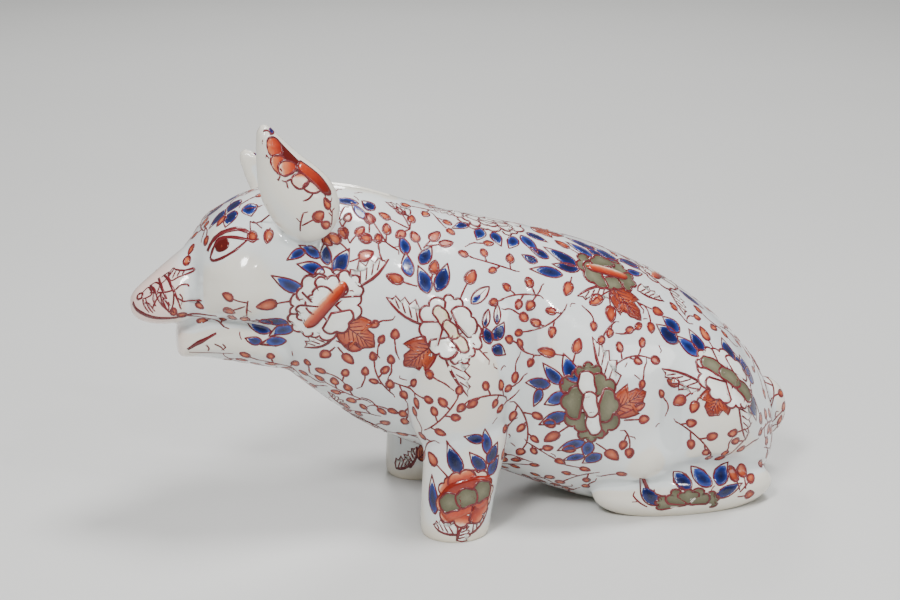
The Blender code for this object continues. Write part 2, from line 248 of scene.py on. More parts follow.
@dataclass
class Clay:
    """The pig's whole outside, its hollow, its coin slot and the opening in its base."""

    wall: float = 0.0055
    voxel: float = 0.00125
    smoothing: int = 7
    trunk: tuple[Station, ...] = (
        (0.1285, 0.0360, 0.0180, 0.011, 0.45),
        (0.1260, 0.0465, 0.0060, 0.022, 0.42),
        (0.1195, 0.0575, -0.0020, 0.031, 0.40),
        (0.1110, 0.0675, -0.0060, 0.039, 0.38),
        (0.0990, 0.0790, -0.0075, 0.044, 0.40),
        (0.0770, 0.0945, -0.0080, 0.047, 0.42),
        (0.0550, 0.1060, -0.0060, 0.047, 0.44),
        (0.0295, 0.1145, 0.0045, 0.046, 0.45),
        (0.0100, 0.1190, 0.0135, 0.043, 0.46),
        (-0.0080, 0.1240, 0.0200, 0.040, 0.47),
        (-0.0260, 0.1295, 0.0270, 0.037, 0.48),
        (-0.0430, 0.1362, 0.0355, 0.035, 0.50),
        (-0.0580, 0.1395, 0.0460, 0.033, 0.50),
        (-0.0750, 0.1390, 0.0610, 0.031, 0.50),
        (-0.0880, 0.1340, 0.0730, 0.026, 0.50),
        (-0.0960, 0.1200, 0.0880, 0.014, 0.50),
    )
    head: tuple[Station, ...] = (
        (-0.055, 0.128, 0.074, 0.020, 0.50),
        (-0.063, 0.138, 0.066, 0.030, 0.52),
        (-0.077, 0.1395, 0.072, 0.032, 0.54),
        (-0.089, 0.1375, 0.080, 0.030, 0.54),
        (-0.0985, 0.1335, 0.0855, 0.027, 0.53),
        (-0.107, 0.1265, 0.0870, 0.0225, 0.50),
        (-0.114, 0.1190, 0.0865, 0.0185, 0.46),
        (-0.121, 0.1125, 0.0860, 0.0165, 0.42),
        (-0.128, 0.1070, 0.0860, 0.0145, 0.38),
        (-0.134, 0.1025, 0.0870, 0.0110, 0.38),
        (-0.1380, 0.0990, 0.0890, 0.0072, 0.45),
        (-0.1393, 0.0965, 0.0920, 0.0032, 0.50),
    )
    jaw: tuple[Station, ...] = (
        (-0.0710, 0.0920, 0.0615, 0.020, 0.50),
        (-0.0830, 0.0960, 0.0650, 0.024, 0.50),
        (-0.0960, 0.0950, 0.0680, 0.022, 0.52),
        (-0.1060, 0.0920, 0.0700, 0.017, 0.55),
        (-0.1140, 0.0890, 0.0715, 0.0135, 0.55),
        (-0.1185, 0.0868, 0.0712, 0.0108, 0.50),
        (-0.1208, 0.0848, 0.0712, 0.0085, 0.50),
        (-0.1214, 0.0832, 0.0722, 0.0060, 0.50),
    )
    foreleg: tuple[Station, ...] = (
        (-0.004, -0.0160, 0.0365, 0.0138, 0.0140),
        (0.004, -0.0158, 0.0365, 0.0142, 0.0145),
        (0.016, -0.0143, 0.0365, 0.0148, 0.0142),
        (0.030, -0.0118, 0.0355, 0.0160, 0.0142),
        (0.044, -0.0085, 0.0320, 0.0170, 0.0145),
        (0.056, -0.0080, 0.0270, 0.0150, 0.0120),
    )
    left_ear: Ear = Ear((-0.0593, -0.033, 0.1295), (-0.0880, -0.031, 0.1695), -1)
    right_ear: Ear = Ear((-0.0470, 0.030, 0.1190), (-0.0745, 0.042, 0.1360), 1)
    shoulder: tuple = ((-0.0120, 0.0290, 0.0560), (0.0205, 0.0185, 0.0300))
    hind_foot: tuple = ((0.0825, 0.0320, 0.0080), (0.0390, 0.0150, 0.0125))
    tail: tuple = ((0.1285, 0.0, 0.0290), (0.0105, 0.0100, 0.0135))
    # Thumb work on one side, at +Y: name, place, reach along each axis, height (a hollow is negative)
    modelling: tuple = (
        ("cheek", (-0.098, 0.030, 0.104), (0.015, 0.016, 0.016), 0.0075),
        ("brow", (-0.107, 0.020, 0.125), (0.008, 0.010, 0.006), 0.0022),
        ("snout crease", (-0.1155, 0.020, 0.104), (0.0040, 0.016, 0.014), -0.0032),
        ("neck side", (-0.058, 0.035, 0.096), (0.020, 0.016, 0.024), 0.0030),
        ("shoulder", (-0.014, 0.041, 0.080), (0.020, 0.018, 0.034), 0.0068),
        ("shoulder groove", (0.0135, 0.045, 0.068), (0.0065, 0.018, 0.032), -0.0042),
        ("belly", (0.043, 0.047, 0.056), (0.019, 0.020, 0.028), 0.0050),
        ("thigh", (0.096, 0.043, 0.046), (0.018, 0.020, 0.021), 0.0085),
        ("thigh front", (0.0725, 0.049, 0.044), (0.0065, 0.016, 0.016), -0.0045),
        ("knee", (0.062, 0.047, 0.025), (0.011, 0.014, 0.009), 0.0050),
        ("hock hollow", (0.092, 0.045, 0.0215), (0.016, 0.014, 0.0050), -0.0040),
    )
    slot_x: float = -0.0475
    slot_length: float = 0.029
    slot_width: float = 0.005
    slot_heights: tuple[float, float] = (0.115, 0.155)
    slab_gap: float = 0.3 * MM
    slab_corner: float = 18 * MM
    base_heights: tuple[float, float] = (-5 * MM, 16 * MM)
    pooling_rounds: int = 6
    pooling_gain: float = 12.0

    def leg_point(self, side: int) -> Callable[..., Vector]:
        """Returns the ring function of one foreleg."""

        def point(station: Station, along: float, across: float) -> Vector:
            """Gives one point of a level ring."""
            height, x, y, half_length, half_width = station
            return Vector((x + along * half_length, side * y + across * half_width, height))

        return point

    def lumps(self) -> list[bpy.types.Object]:
        """Builds every mass of clay that the skin goes round."""
        masses = [loft(egg_point, stations) for stations in (self.trunk, self.head, self.jaw)]
        masses += [self.left_ear.build(), self.right_ear.build(), lump(*self.tail)]
        for side in (-1, 1):
            masses.append(loft(self.leg_point(side), self.foreleg))
            for (x, y, z), radii in (self.shoulder, self.hind_foot):
                masses.append(lump((x, side * y, z), radii))
        return masses

    def fused(self, masses: Iterable[bpy.types.Object]) -> bpy.types.Object:
        """Lutes the masses into one smooth closed skin."""
        bm = bmesh.new()
        for mass in masses:
            bm.from_mesh(mass.data)
            bpy.data.objects.remove(mass)
        skin = new_piece("glazed_body", bm)
        remesh = skin.modifiers.new("One skin", "REMESH")
        remesh.mode = "VOXEL"
        remesh.voxel_size = self.voxel
        smooth = skin.modifiers.new("Sponged clay", "SMOOTH")
        smooth.iterations = self.smoothing
        return bake(skin)

    def thumbed(self, skin: bpy.types.Object) -> None:
        """Pushes the muscles out of the skin and presses its hollows in, alike on both sides."""
        bm = bmesh.new()
        bm.from_mesh(skin.data)
        bm.normal_update()
        moves = []
        for vert in bm.verts:
            place, height = vert.co, 0.0
            for _, centre, reach, strength in self.modelling:
                x = (place.x - centre[0]) / reach[0]
                y = (abs(place.y) - centre[1]) / reach[1]
                z = (place.z - centre[2]) / reach[2]
                height += strength * math.exp(-(x * x + y * y + z * z))
            moves.append(vert.normal * height)
        for vert, move in zip(bm.verts, moves):
            vert.co += move
        bmesh.ops.smooth_vert(
            bm, verts=bm.verts, factor=0.5, use_axis_x=True, use_axis_y=True, use_axis_z=True
        )
        bm.to_mesh(skin.data)
        bm.free()

    def hollow(self) -> bpy.types.Object:
        """Builds the hollow inside the trunk, one wall in from its outside."""
        stations = [
            (x, top - self.wall, max(bottom, 0.0) + self.wall, half_width - self.wall, widest)
            for x, top, bottom, half_width, widest in self.trunk[1:-1]
        ]
        first, last = stations[0], stations[-1]
        stations[0] = (first[0] - self.wall, *first[1:])
        stations[-1] = (last[0] + self.wall, *last[1:])
        return loft(egg_point, stations)

    def build(self) -> bpy.types.Object:
        """Builds the finished clay body and returns it."""
        skin = self.fused(self.lumps())
        self.thumbed(skin)
        below_the_soles = prism((0.0, 0.0), FAR, FAR, corner=0.1, low=-FAR, high=0.0)
        cut(skin, below_the_soles)
        return skin

    def open_up(self, skin: bpy.types.Object) -> None:
        """Hollows the skin and cuts the coin slot and the base opening through it."""
        cut(skin, self.hollow())
        low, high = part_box("base_slab")
        half = self.slot_width / 2
        cut(skin, prism((self.slot_x, 0.0), self.slot_length / 2, half, 0.9 * half, *self.slot_heights))
        middle = (low + high) / 2
        size = (high - low) / 2
        gap = self.slab_gap
        cut(skin, prism(middle, size.x + gap, size.y + gap, self.slab_corner, *self.base_heights))

    def measure_hollows(self, skin: bpy.types.Object) -> None:
        """Stores how far each point lies in a hollow or on an edge, for the pooling of the glaze."""
        bm = bmesh.new()
        bm.from_mesh(skin.data)
        bm.normal_update()
        layer = bm.verts.layers.float.new("pooling")
        values = {}
        for vert in bm.verts:
            around = [edge.other_vert(vert).co for edge in vert.link_edges]
            middle = sum(around, Vector()) / max(1, len(around))
            values[vert] = (middle - vert.co).dot(vert.normal) / MM
        for _ in range(self.pooling_rounds):
            values = {
                vert: sum(values[e.other_vert(vert)] for e in vert.link_edges) / max(1, len(vert.link_edges))
                for vert in bm.verts
            }
        for vert, value in values.items():
            vert[layer] = max(0.0, min(1.0, 0.5 + self.pooling_gain * value))
        bm.to_mesh(skin.data)
        bm.free()


# ----------------------------------------------------------------------------------------------------------
# Brush and pigments
# ----------------------------------------------------------------------------------------------------------


class Pigment(Enum):
    """The painter's colours. Each is one film on the glaze."""

    WHITE = "white_enamel"
    BLUSH = "faded_enamel"
    BLUE = "cobalt_blue"
    ORANGE = "orange_wash"
    WASH = "iron_red_wash"
    OLIVE = "olive_gold"
    RED = "iron_red_lines"
    VINE = "iron_red_vines"


FILM = 0.045  # millimetres of enamel over the glaze
LAYER = 0.03  # millimetres from one enamel layer to the next
EDGE = 0.014  # millimetres that a line stands over its own fill
SWELL = 0.02  # millimetres that a line 1 mm wide stands higher still; it grows with the square of the width
ROOTED = 0.4  # millimetres that a film reaches down into the glaze
LARGE = 3.0  # millimetres from the middle of a patch to its rim, above which it is cut into more rings


@dataclass(frozen=True)
class Spot:
    """A place on the glaze: where it is, the way out of the skin, the way the brush heads, and its hand.

    The hand is 1 on the pig's left side and -1 on its right, where the painter mirrors every turn.
    """

    place: Vector
    out: Vector
    heading: Vector
    hand: int = 1

    @property
    def left(self) -> Vector:
        """The direction to the brush's left, or to its right where the painting is mirrored."""
        return self.hand * self.out.cross(self.heading)

    def turned(self, degrees: float) -> "Spot":
        """Returns the same place with the brush turned to its left."""
        angle = math.radians(degrees)
        heading = math.cos(angle) * self.heading + math.sin(angle) * self.left
        return Spot(self.place, self.out, heading, self.hand)


class Ground:
    """The glazed skin as the painter's ground: finds places on it and walks over it."""

    def __init__(self, skin: bpy.types.Object) -> None:
        """Reads the skin's mesh."""
        bm = bmesh.new()
        bm.from_mesh(skin.data)
        self.tree = BVHTree.FromBMesh(bm)
        bm.free()

    def settle(self, place: Vector, heading: Vector, hand: int = 1) -> Spot:
        """Puts a point on the skin and lays its heading flat on it."""
        found, out, _, _ = self.tree.find_nearest(place)
        flat = heading - heading.dot(out) * out
        if flat.length < 1e-6:
            flat = out.orthogonal()
        return Spot(found, out, flat.normalized(), hand)

    def spot(self, x: float, y: float, z: float, hand: int = 1) -> Spot:
        """Finds the place nearest to a point, with the brush heading for the tail.

        Args:
            x: millimetres towards the tail.
            y: millimetres towards the pig's right side, or its left where the painting is mirrored.
            z: millimetres up.
            hand: 1, or -1 to mirror the painting to the other side.

        Returns:
            The place.
        """
        return self.settle(Vector((x, hand * y, z)) * MM, Vector((1.0, 0.0, 0.0)), hand)

    def trail(self, start: Spot, distance: float, bend: float = 0.0, step: float = 1.2) -> list[Spot]:
        """Walks over the skin.

        Args:
            start: where the walk starts and which way it heads.
            distance: how far it goes, in millimetres.
            bend: how much it turns to the left over the whole way, in degrees.
            step: the length of one step, in millimetres.

        Returns:
            The places on the way, the first and the last included.
        """
        count = max(1, math.ceil(distance / step))
        spots = [start]
        for _ in range(count):
            last = spots[-1].turned(bend / count)
            place = last.place + last.heading * (distance / count * MM)
            spots.append(self.settle(place, last.heading, start.hand))
        return spots

    def reach(self, start: Spot, ahead: float, aside: float) -> Spot:
        """Goes straight over the skin to a point in a place's own millimetres, and keeps its heading."""
        degrees = math.degrees(math.atan2(aside, ahead))
        return self.trail(start.turned(degrees), math.hypot(ahead, aside), step=2.5)[-1].turned(-degrees)

    def press(self, spot: Spot, ahead: float, aside: float, film: float) -> Vector:
        """Gives the point of a film, from a place's own millimetres ahead and to the left."""
        guess = spot.place + (ahead * spot.heading + aside * spot.left) * MM
        found, out, _, _ = self.tree.find_nearest(guess)
        return found + out * (film * MM)


class Brush:
    """One pigment's film, to which strokes and patches are added."""

    def __init__(self, pigment: Pigment, ground: Ground, seed: int) -> None:
        """Takes up a pigment for a ground."""
        self.pigment = pigment
        self.ground = ground
        self.bm = bmesh.new()
        self.tone = self.bm.verts.layers.float.new("tone")
        self.load = self.bm.verts.layers.float.new("load")
        self.random = random.Random(seed)

    def patch(
        self, spot: Spot, outline: Outline, layer: float = 0.0,
        shade: tuple[float, float, float] | None = None,
    ) -> None:
        """Fills an outline with pigment.

        Args:
            spot: where the outline's own millimetres start and which way they head.
            outline: the points round the patch, ahead and to the left.
            layer: how many layers of enamel lie under it.
            shade: the tone at the spot and its rise for each millimetre ahead and aside, or None for a tone
                that runs from the rim to the middle.
        """
        area = sum(p[0] * q[1] - q[0] * p[1] for p, q in zip(outline, [*outline[1:], outline[0]]))
        points = outline if area * spot.hand > 0 else outline[::-1]
        count = len(points)
        middle_a = sum(a for a, _ in points) / count
        middle_b = sum(b for _, b in points) / count
        size = max(math.hypot(a - middle_a, b - middle_b) for a, b in points)
        start = len(self.bm.verts)
        ring = bmesh.ops.create_circle(self.bm, cap_ends=True, segments=count, radius=1.0)["verts"]
        first = math.atan2(ring[0].co.y, ring[0].co.x)
        face = ring[0].link_faces[0]
        large = size > LARGE
        for _ in range(3 if large else 1):
            bmesh.ops.inset_individual(self.bm, faces=[face], thickness=0.24 if large else 0.45)
        bmesh.ops.poke(self.bm, faces=[face])
        self.bm.verts.ensure_lookup_table()
        load = self.random.random()
        film = FILM + LAYER * layer
        for vert in self.bm.verts[start:]:
            share = min(1.0, math.hypot(vert.co.x, vert.co.y))
            turn = (math.atan2(vert.co.y, vert.co.x) - first) / (2.0 * math.pi) * count
            a, b = points[round(turn) % count]
            ahead, aside = middle_a + share * (a - middle_a), middle_b + share * (b - middle_b)
            vert.co = self.ground.press(spot, ahead, aside, film)
            vert[self.tone] = 1.0 - share if shade is None else shade[0] + shade[1] * ahead + shade[2] * aside
            vert[self.load] = load

    def ribbon(self, pairs: list[tuple[Vector, Vector]], hand: int) -> None:
        """Draws a strip between pairs of points on the skin, right point first."""
        steps = len(pairs) - 1
        made = bmesh.ops.create_grid(self.bm, x_segments=steps, y_segments=1, size=1.0)["verts"]
        load = self.random.random()
        for vert in made:
            index = round((vert.co.x + 1.0) / 2.0 * steps)
            right, left = pairs[index]
            vert[self.tone] = index / steps
            vert[self.load] = load
            vert.co = left if (vert.co.y > 0) == (hand > 0) else right

    def line(
        self, spot: Spot, path: Outline, width: float, closed: bool = False, layer: float = 0.0
    ) -> None:
        """Draws a line through points given in a place's own millimetres.

        Args:
            spot: where the millimetres start and which way they head.
            path: the points, ahead and to the left.
            width: the line's width in millimetres.
            closed: whether the line runs back to its start.
            layer: how many layers of enamel lie under it.
        """
        points = [*path, path[0], path[1]] if closed else list(path)
        film = FILM + LAYER * layer + EDGE + SWELL * width * width
        pairs = []
        last = len(points) - 1
        for index, (a, b) in enumerate(points):
            before, after = points[max(0, index - 1)], points[min(last, index + 1)]
            if closed and index == 0:
                before = points[last - 2]
            along = Vector((after[0] - before[0], after[1] - before[1]))
            if along.length < 1e-9:
                along = Vector((1.0, 0.0))
            along.normalize()
            taper = 1.0 if closed else 0.5 + 0.5 * math.sin(math.pi * min(1.0, 0.15 + 0.85 * index / last))
            half = 0.5 * width * taper * (0.85 + 0.3 * self.random.random())
            left = self.ground.press(spot, a - along.y * half, b + along.x * half, film)
            right = self.ground.press(spot, a + along.y * half, b - along.x * half, film)
            pairs.append((right, left))
        self.ribbon(pairs, spot.hand)

    def stem(self, spots: list[Spot], width: float) -> None:
        """Draws a line along a walk over the skin."""
        pairs = []
        for index, spot in enumerate(spots):
            share = index / (len(spots) - 1)
            half = 0.5 * width * (0.8 + 0.2 * math.sin(math.pi * share)) * (0.85 + 0.3 * self.random.random())
            left = self.ground.press(spot, 0.0, half, FILM + EDGE)
            right = self.ground.press(spot, 0.0, -half, FILM + EDGE)
            pairs.append((right, left))
        self.ribbon(pairs, spots[0].hand)

    def finish(self) -> bpy.types.Object:
        """Gives the film its thickness and returns it as a piece."""
        piece = new_piece(self.pigment.value, self.bm)
        wall = piece.modifiers.new("Film", "SOLIDIFY")
        wall.thickness = ROOTED * MM
        wall.offset = -1.0
        piece.data.shade_smooth()
        return bake(piece)


# ----------------------------------------------------------------------------------------------------------
# Shapes the painter knows
# ----------------------------------------------------------------------------------------------------------


def rounded(points: Outline, closed: bool = True, steps: int = 3) -> Outline:
    """Draws a flowing line through points.

    Args:
        points: the points to go through.
        closed: whether the line runs back to its start.
        steps: how many pieces each stretch is cut into.

    Returns:
        The points of the flowing line.
    """
    count = len(points)
    stretches = count if closed else count - 1
    flow = []
    for i in range(stretches):
        if closed:
            p0, p1, p2, p3 = (Vector(points[(i + k) % count]) for k in (-1, 0, 1, 2))
        else:
            p0, p1, p2, p3 = (Vector(points[min(count - 1, max(0, i + k))]) for k in (-1, 0, 1, 2))
        for step in range(steps):
            t = step / steps
            bent = 0.5 * (
                2.0 * p1 + (p2 - p0) * t + (2.0 * p0 - 5.0 * p1 + 4.0 * p2 - p3) * t * t
                + (3.0 * p1 - p0 - 3.0 * p2 + p3) * t * t * t
            )
            flow.append((bent.x, bent.y))
    if not closed:
        flow.append(points[-1])
    return flow


def leaf_outline(
    length: float, width: float, tip: float = 0.8, base: float = 0.3, bow: float = 0.0, points: int = 16
) -> Outline:
    """Gives a leaf, a bud or a berry, from its base at the start to its tip straight ahead.

    Args:
        length: from base to tip.
        width: at the widest.
        tip: how sharp the tip is, from 0, round.
        base: how sharp the base is.
        bow: how far the leaf's middle curves to the left.
        points: how many points go round.

    Returns:
        The outline, anticlockwise.
    """
    most = max(
        math.sin(t) * math.sin(t / 2) ** tip * math.cos(t / 2) ** base
        for t in (math.pi * k / 40 for k in range(1, 40))
    )
    outline = []
    for index in range(points):
        angle = 2.0 * math.pi * index / points
        share = 0.5 + 0.5 * math.cos(angle)
        taper = (abs(math.sin(angle / 2)) + 1e-6) ** tip * (abs(math.cos(angle / 2)) + 1e-6) ** base
        outline.append(
            (length * share, 0.5 * width * math.sin(angle) * taper / most + 4.0 * bow * share * (1.0 - share))
        )
    return outline


def mirrored(corners: Outline, length: float, width: float, steps: int = 2) -> Outline:
    """Gives a mirrored outline through corners of one side, scaled to a length and a width.

    Args:
        corners: one side's corners from base to tip, as shares of length and half width.
        length: the length in millimetres.
        width: the full width in millimetres.
        steps: how many points each edge is cut into.

    Returns:
        The outline, anticlockwise.
    """
    side = [(length * a, -0.5 * width * b) for a, b in corners]
    whole = side + [(a, -b) for a, b in reversed(side[1:-1])]
    outline = []
    for first, second in zip(whole, whole[1:] + whole[:1]):
        for step in range(steps):
            share = step / steps
            outline.append(tuple(p + share * (q - p) for p, q in zip(first, second)))
    return outline


def petal(length: float, spread: float, lobes: int = 3, depth: float = 0.22, points: int = 25) -> Outline:
    """Gives a petal with a scalloped edge, from its base at the start.

    Args:
        length: from base to edge.
        spread: the angle it fans out over, in degrees.
        lobes: how many scallops its edge has.
        depth: how deep they are, as a share of the length.
        points: how many points the edge has.

    Returns:
        The outline, anticlockwise.
    """
    outline = [(0.0, 0.0)]
    for index in range(points):
        t = index / (points - 1)
        turn = math.radians(spread) * (t - 0.5)
        edge = length * (1.0 - depth * (1.0 - abs(math.sin(lobes * math.pi * (0.04 + 0.92 * t))) ** 0.6))
        edge *= 0.86 + 0.14 * math.sin(math.pi * t)
        outline.append((edge * math.cos(turn), edge * math.sin(turn)))
    return outline


def lozenge(
    length: float, width: float, wave: float = 0.0, points: int = 24, square: float = 0.55
) -> Outline:
    """Gives a bar with round ends and an uneven edge, its middle at the start; 1.0 is an ellipse."""
    outline = []
    for index in range(points):
        angle = 2.0 * math.pi * index / points
        c, s = math.cos(angle), math.sin(angle)
        a = 0.5 * length * math.copysign(abs(c) ** square, c)
        b = 0.5 * width * math.copysign(abs(s) ** 0.8, s) * (1.0 + wave * math.sin(5.0 * angle))
        outline.append((a, b))
    return outline


# Half a leaf from base to tip, as shares of its length and its half width
LOBED = [
    (0.0, 0.0), (0.02, 0.35), (0.14, 0.72), (0.34, 0.90), (0.62, 1.0), (0.50, 0.70), (0.58, 0.52),
    (0.78, 0.50), (0.84, 0.34), (1.0, 0.0),
]
# The thick rib of a white leaf, and the whole leaf with the teeth of its other side
RIB = [(0.0, -0.04), (0.2, -0.14), (0.4, -0.19), (0.6, -0.18), (0.8, -0.11), (1.0, 0.0)]
SERRATE = [
    *RIB, (0.86, 0.10), (0.84, 0.30), (0.68, 0.22), (0.66, 0.50), (0.48, 0.36), (0.44, 0.70), (0.26, 0.46),
    (0.16, 0.66), (0.03, 0.34),
]


class Bloom(Enum):
    """The kinds of peony, each the colour of its petals and of its heart."""

    RED_BAR = (Pigment.WHITE, Pigment.WASH)
    FADED = (Pigment.WHITE, Pigment.BLUSH)
    PLAIN = (Pigment.WHITE, Pigment.WHITE)
    OLIVE_BAR = (Pigment.WHITE, Pigment.OLIVE)
    OLIVE_RING = (Pigment.OLIVE, Pigment.WHITE)
    OLIVE_RED = (Pigment.OLIVE, Pigment.WASH)
    RED_BAND = (Pigment.WASH, Pigment.OLIVE)
    HALF_OLIVE = (Pigment.OLIVE, Pigment.OLIVE)


class Leaf(Enum):
    """What grows round a peony."""

    BLUE = "blue leaf"
    ORANGE = "orange three-pointed leaf"
    WHITE = "white leaf with hatching"
    BUD = "white bud with blue inside"
    BERRY = "berry on a stalk"
    TWIG = "bare twig"


# A leaf's kind, where its base is (ahead and aside of the flower), its heading, its length, and its width;
# for a berry or a twig the last number is the length of its stalk or its bend
Item = tuple[Leaf, float, float, float, float, float]


@dataclass(frozen=True)
class Spray:
    """A peony and what grows round it. Its place is on the pig's left side, in millimetres."""

    place: tuple[float, float, float]
    bloom: Bloom | None = None
    lean: float = 0.0
    length: float = 0.0
    width: float = 0.0
    heart: tuple[float, float] = (0.0, 0.0)
    items: tuple[Item, ...] = ()


class Painter:
    """Paints the pig: peony sprays where they are planned, and berry sprigs in the gaps."""

    outline_width = 0.85
    vine_width = 0.8
    cell = 6.0
    berry_gap = (3.4, 4.8)
    berry_size = (3.5, 4.5)
    berry_apart = 4.6
    stalk_turn = (38, 66)
    stalk_length = (1.4, 4.2)
    lowest_berry = 0.003
    # How many berries a sprig has, and how often one is tried
    sprigs = ((5, 300), (4, 700), (3, 1300), (2, 1500), (1, 1500))
    ticks = 420
    # The pig's length that sprigs may start on, and the line inside it from which places are looked for
    length_span = (-112, 134)
    axis_height = 62.0
    axis_fall = 0.3

    def __init__(self, ground: Ground, seed: int = 11) -> None:
        """Mixes the pigments for a ground."""
        self.ground = ground
        self.random = random.Random(seed)
        self.brushes = {pigment: Brush(pigment, ground, seed + n) for n, pigment in enumerate(Pigment)}
        self.taken: dict[tuple[int, int, int], list[tuple[Vector, float]]] = {}

    def cells(self, place: Vector, radius: float) -> Iterable[tuple[int, int, int]]:
        """Gives the cells of the painter's map that a round area, in millimetres, touches."""
        low = [math.floor((c / MM - radius) / self.cell) for c in place]
        high = [math.floor((c / MM + radius) / self.cell) for c in place]
        spans = [range(a, b + 1) for a, b in zip(low, high)]
        return ((i, j, k) for i in spans[0] for j in spans[1] for k in spans[2])

    def take(self, place: Vector, radius: float) -> None:
        """Marks a round area as painted."""
        for cell in self.cells(place, radius):
            self.taken.setdefault(cell, []).append((place, radius))

    def is_free(self, place: Vector, radius: float) -> bool:
        """Says whether a round area has nothing painted on it."""
        return all(
            (place - other).length > (radius + used) * MM
            for cell in self.cells(place, radius)
            for other, used in self.taken.get(cell, ())
        )

    def filled(
        self, pigment: Pigment, spot: Spot, outline: Outline, layer: float = 0.0, width: float = 0.0,
        slip: float = 0.2,
    ) -> None:
        """Fills an outline and draws its edge, the fill a little out of register.

        Args:
            pigment: the colour of the fill.
            spot: where the outline starts and heads.
            outline: its points.
            layer: how many layers of enamel lie under it.
            width: the edge line's width, or 0 for the usual one.
            slip: how far the fill may sit from its line, in millimetres.
        """
        da, db = (self.random.uniform(-slip, slip) for _ in range(2))
        self.brushes[pigment].patch(spot, [(a + da, b + db) for a, b in outline], layer)
        self.brushes[Pigment.RED].line(spot, outline, width or self.outline_width, closed=True, layer=layer)

    def berry(self, spot: Spot, size: float = 4.4, round_: bool = False) -> None:
        """Paints a berry whose base is at the brush."""
        width = size * self.random.uniform(0.62, 0.82) * (1.0 if size < 6.0 else 0.8)
        outline = leaf_outline(size, width, tip=0.15 if round_ else 0.55, base=0.0, points=12)
        da, db = (self.random.uniform(-0.45, 0.45) for _ in range(2))
        self.brushes[Pigment.ORANGE].patch(spot, [(a + da, b + db) for a, b in outline])
        self.brushes[Pigment.VINE].line(spot, outline, 0.95, closed=True)
        self.take(spot.place + spot.heading * (0.5 * size * MM), 0.5 * size)

    def blue_leaf(self, spot: Spot, length: float, width: float) -> None:
        """Paints a blue leaf: a pointed red outline with a shorter blue stroke in it."""
        bow = self.random.uniform(-0.5, 0.5)
        da, db = (self.random.uniform(-0.25, 0.25) for _ in range(2))
        fill = leaf_outline(0.86 * length, 0.92 * width, tip=0.6, base=0.3, bow=bow)
        self.brushes[Pigment.BLUE].patch(spot, [(a + da + 0.2, b + db) for a, b in fill], 0.5)
        outline = leaf_outline(1.08 * length, width, tip=1.5, base=0.5, bow=bow, points=20)
        self.brushes[Pigment.RED].line(spot, outline, 0.7, closed=True)
        for share in (0.25, 0.7):
            self.take(spot.place + spot.heading * (share * length * MM), 0.42 * width + 0.4)

    def orange_leaf(self, spot: Spot, length: float, width: float) -> None:
        """Paints an orange three-pointed leaf with its veins."""
        self.filled(Pigment.ORANGE, spot, rounded(mirrored(LOBED, length, width, 1), steps=2), width=0.66)
        red = self.brushes[Pigment.RED]
        red.line(spot, [(length * (0.04 + 0.15 * t), 0.0) for t in range(7)], 0.62, layer=0.6)
        for side in (-1, 1):
            for start in (0.10, 0.22, 0.34, 0.46, 0.58, 0.70):
                reach = 0.30 * (1.0 - start)
                a, b = length * start, side * 0.02 * width
                path = [(a + 0.22 * length * t / 3, b + side * reach * width * t / 3) for t in range(4)]
                red.line(spot, path, 0.5, layer=0.6)
        for share, radius in ((0.3, 0.42), (0.7, 0.22)):
            self.take(spot.place + spot.heading * (share * length * MM), radius * width + 0.5)

    def white_leaf(self, spot: Spot, length: float, width: float) -> None:
        """Paints a white leaf: a thick rib along one side, teeth and hatching on the other."""
        side = self.random.choice((-1, 1))
        outline = [(length * a, side * width * b) for a, b in SERRATE]
        self.filled(Pigment.WHITE, spot, outline, width=0.85)
        red = self.brushes[Pigment.RED]
        red.line(spot, [(length * a, side * width * b) for a, b in RIB], 1.25, layer=0.6)
        for number in range(4):
            start = 0.10 + 0.17 * number
            reach = 0.46 * (1.0 - 0.75 * start)
            path = [(length * (start + 0.07 * t), side * width * (0.32 * reach * t - 0.06)) for t in range(4)]
            red.line(spot, path, 0.75, layer=0.6)
        for share, radius in ((0.3, 0.4), (0.7, 0.26)):
            self.take(spot.place + spot.heading * (share * length * MM), radius * width + 0.4)

    def bud(self, spot: Spot, length: float, width: float) -> None:
        """Paints a white bud with a touch of blue at its base."""
        self.filled(Pigment.WHITE, spot, leaf_outline(length, width, tip=0.8, base=0.4), width=0.8)
        inner = leaf_outline(0.45 * length, 0.5 * width, tip=0.5, base=0.3)
        self.brushes[Pigment.BLUE].patch(spot, [(a + 0.6, b) for a, b in inner], 0.8)
        self.brushes[Pigment.RED].line(
            spot, [(length * (0.3 + 0.11 * t), 0.04 * width) for t in range(6)], 0.4, layer=0.8
        )
        self.take(spot.place + spot.heading * (0.5 * length * MM), 0.5 * width + 0.5)

    def stalk(self, spot: Spot, length: float, size: float) -> None:
        """Paints a berry on a stalk that starts at the brush."""
        way = self.ground.trail(spot, max(0.8, length), self.random.uniform(-14, 14))
        self.brushes[Pigment.VINE].stem(way, self.vine_width)
        self.berry(way[-1], size)

    def twig(self, spot: Spot, length: float, bend: float) -> None:
        """Paints a bare twig with a fork at its end."""
        vine = self.brushes[Pigment.VINE]
        way = self.ground.trail(spot, length, bend)
        vine.stem(way, self.vine_width)
        vine.stem(self.ground.trail(way[len(way) // 2].turned(48), 2.6), 0.5)
        vine.stem(self.ground.trail(way[-1].turned(-62), 1.8), 0.5)
        self.take(way[len(way) // 2].place, 2.0)

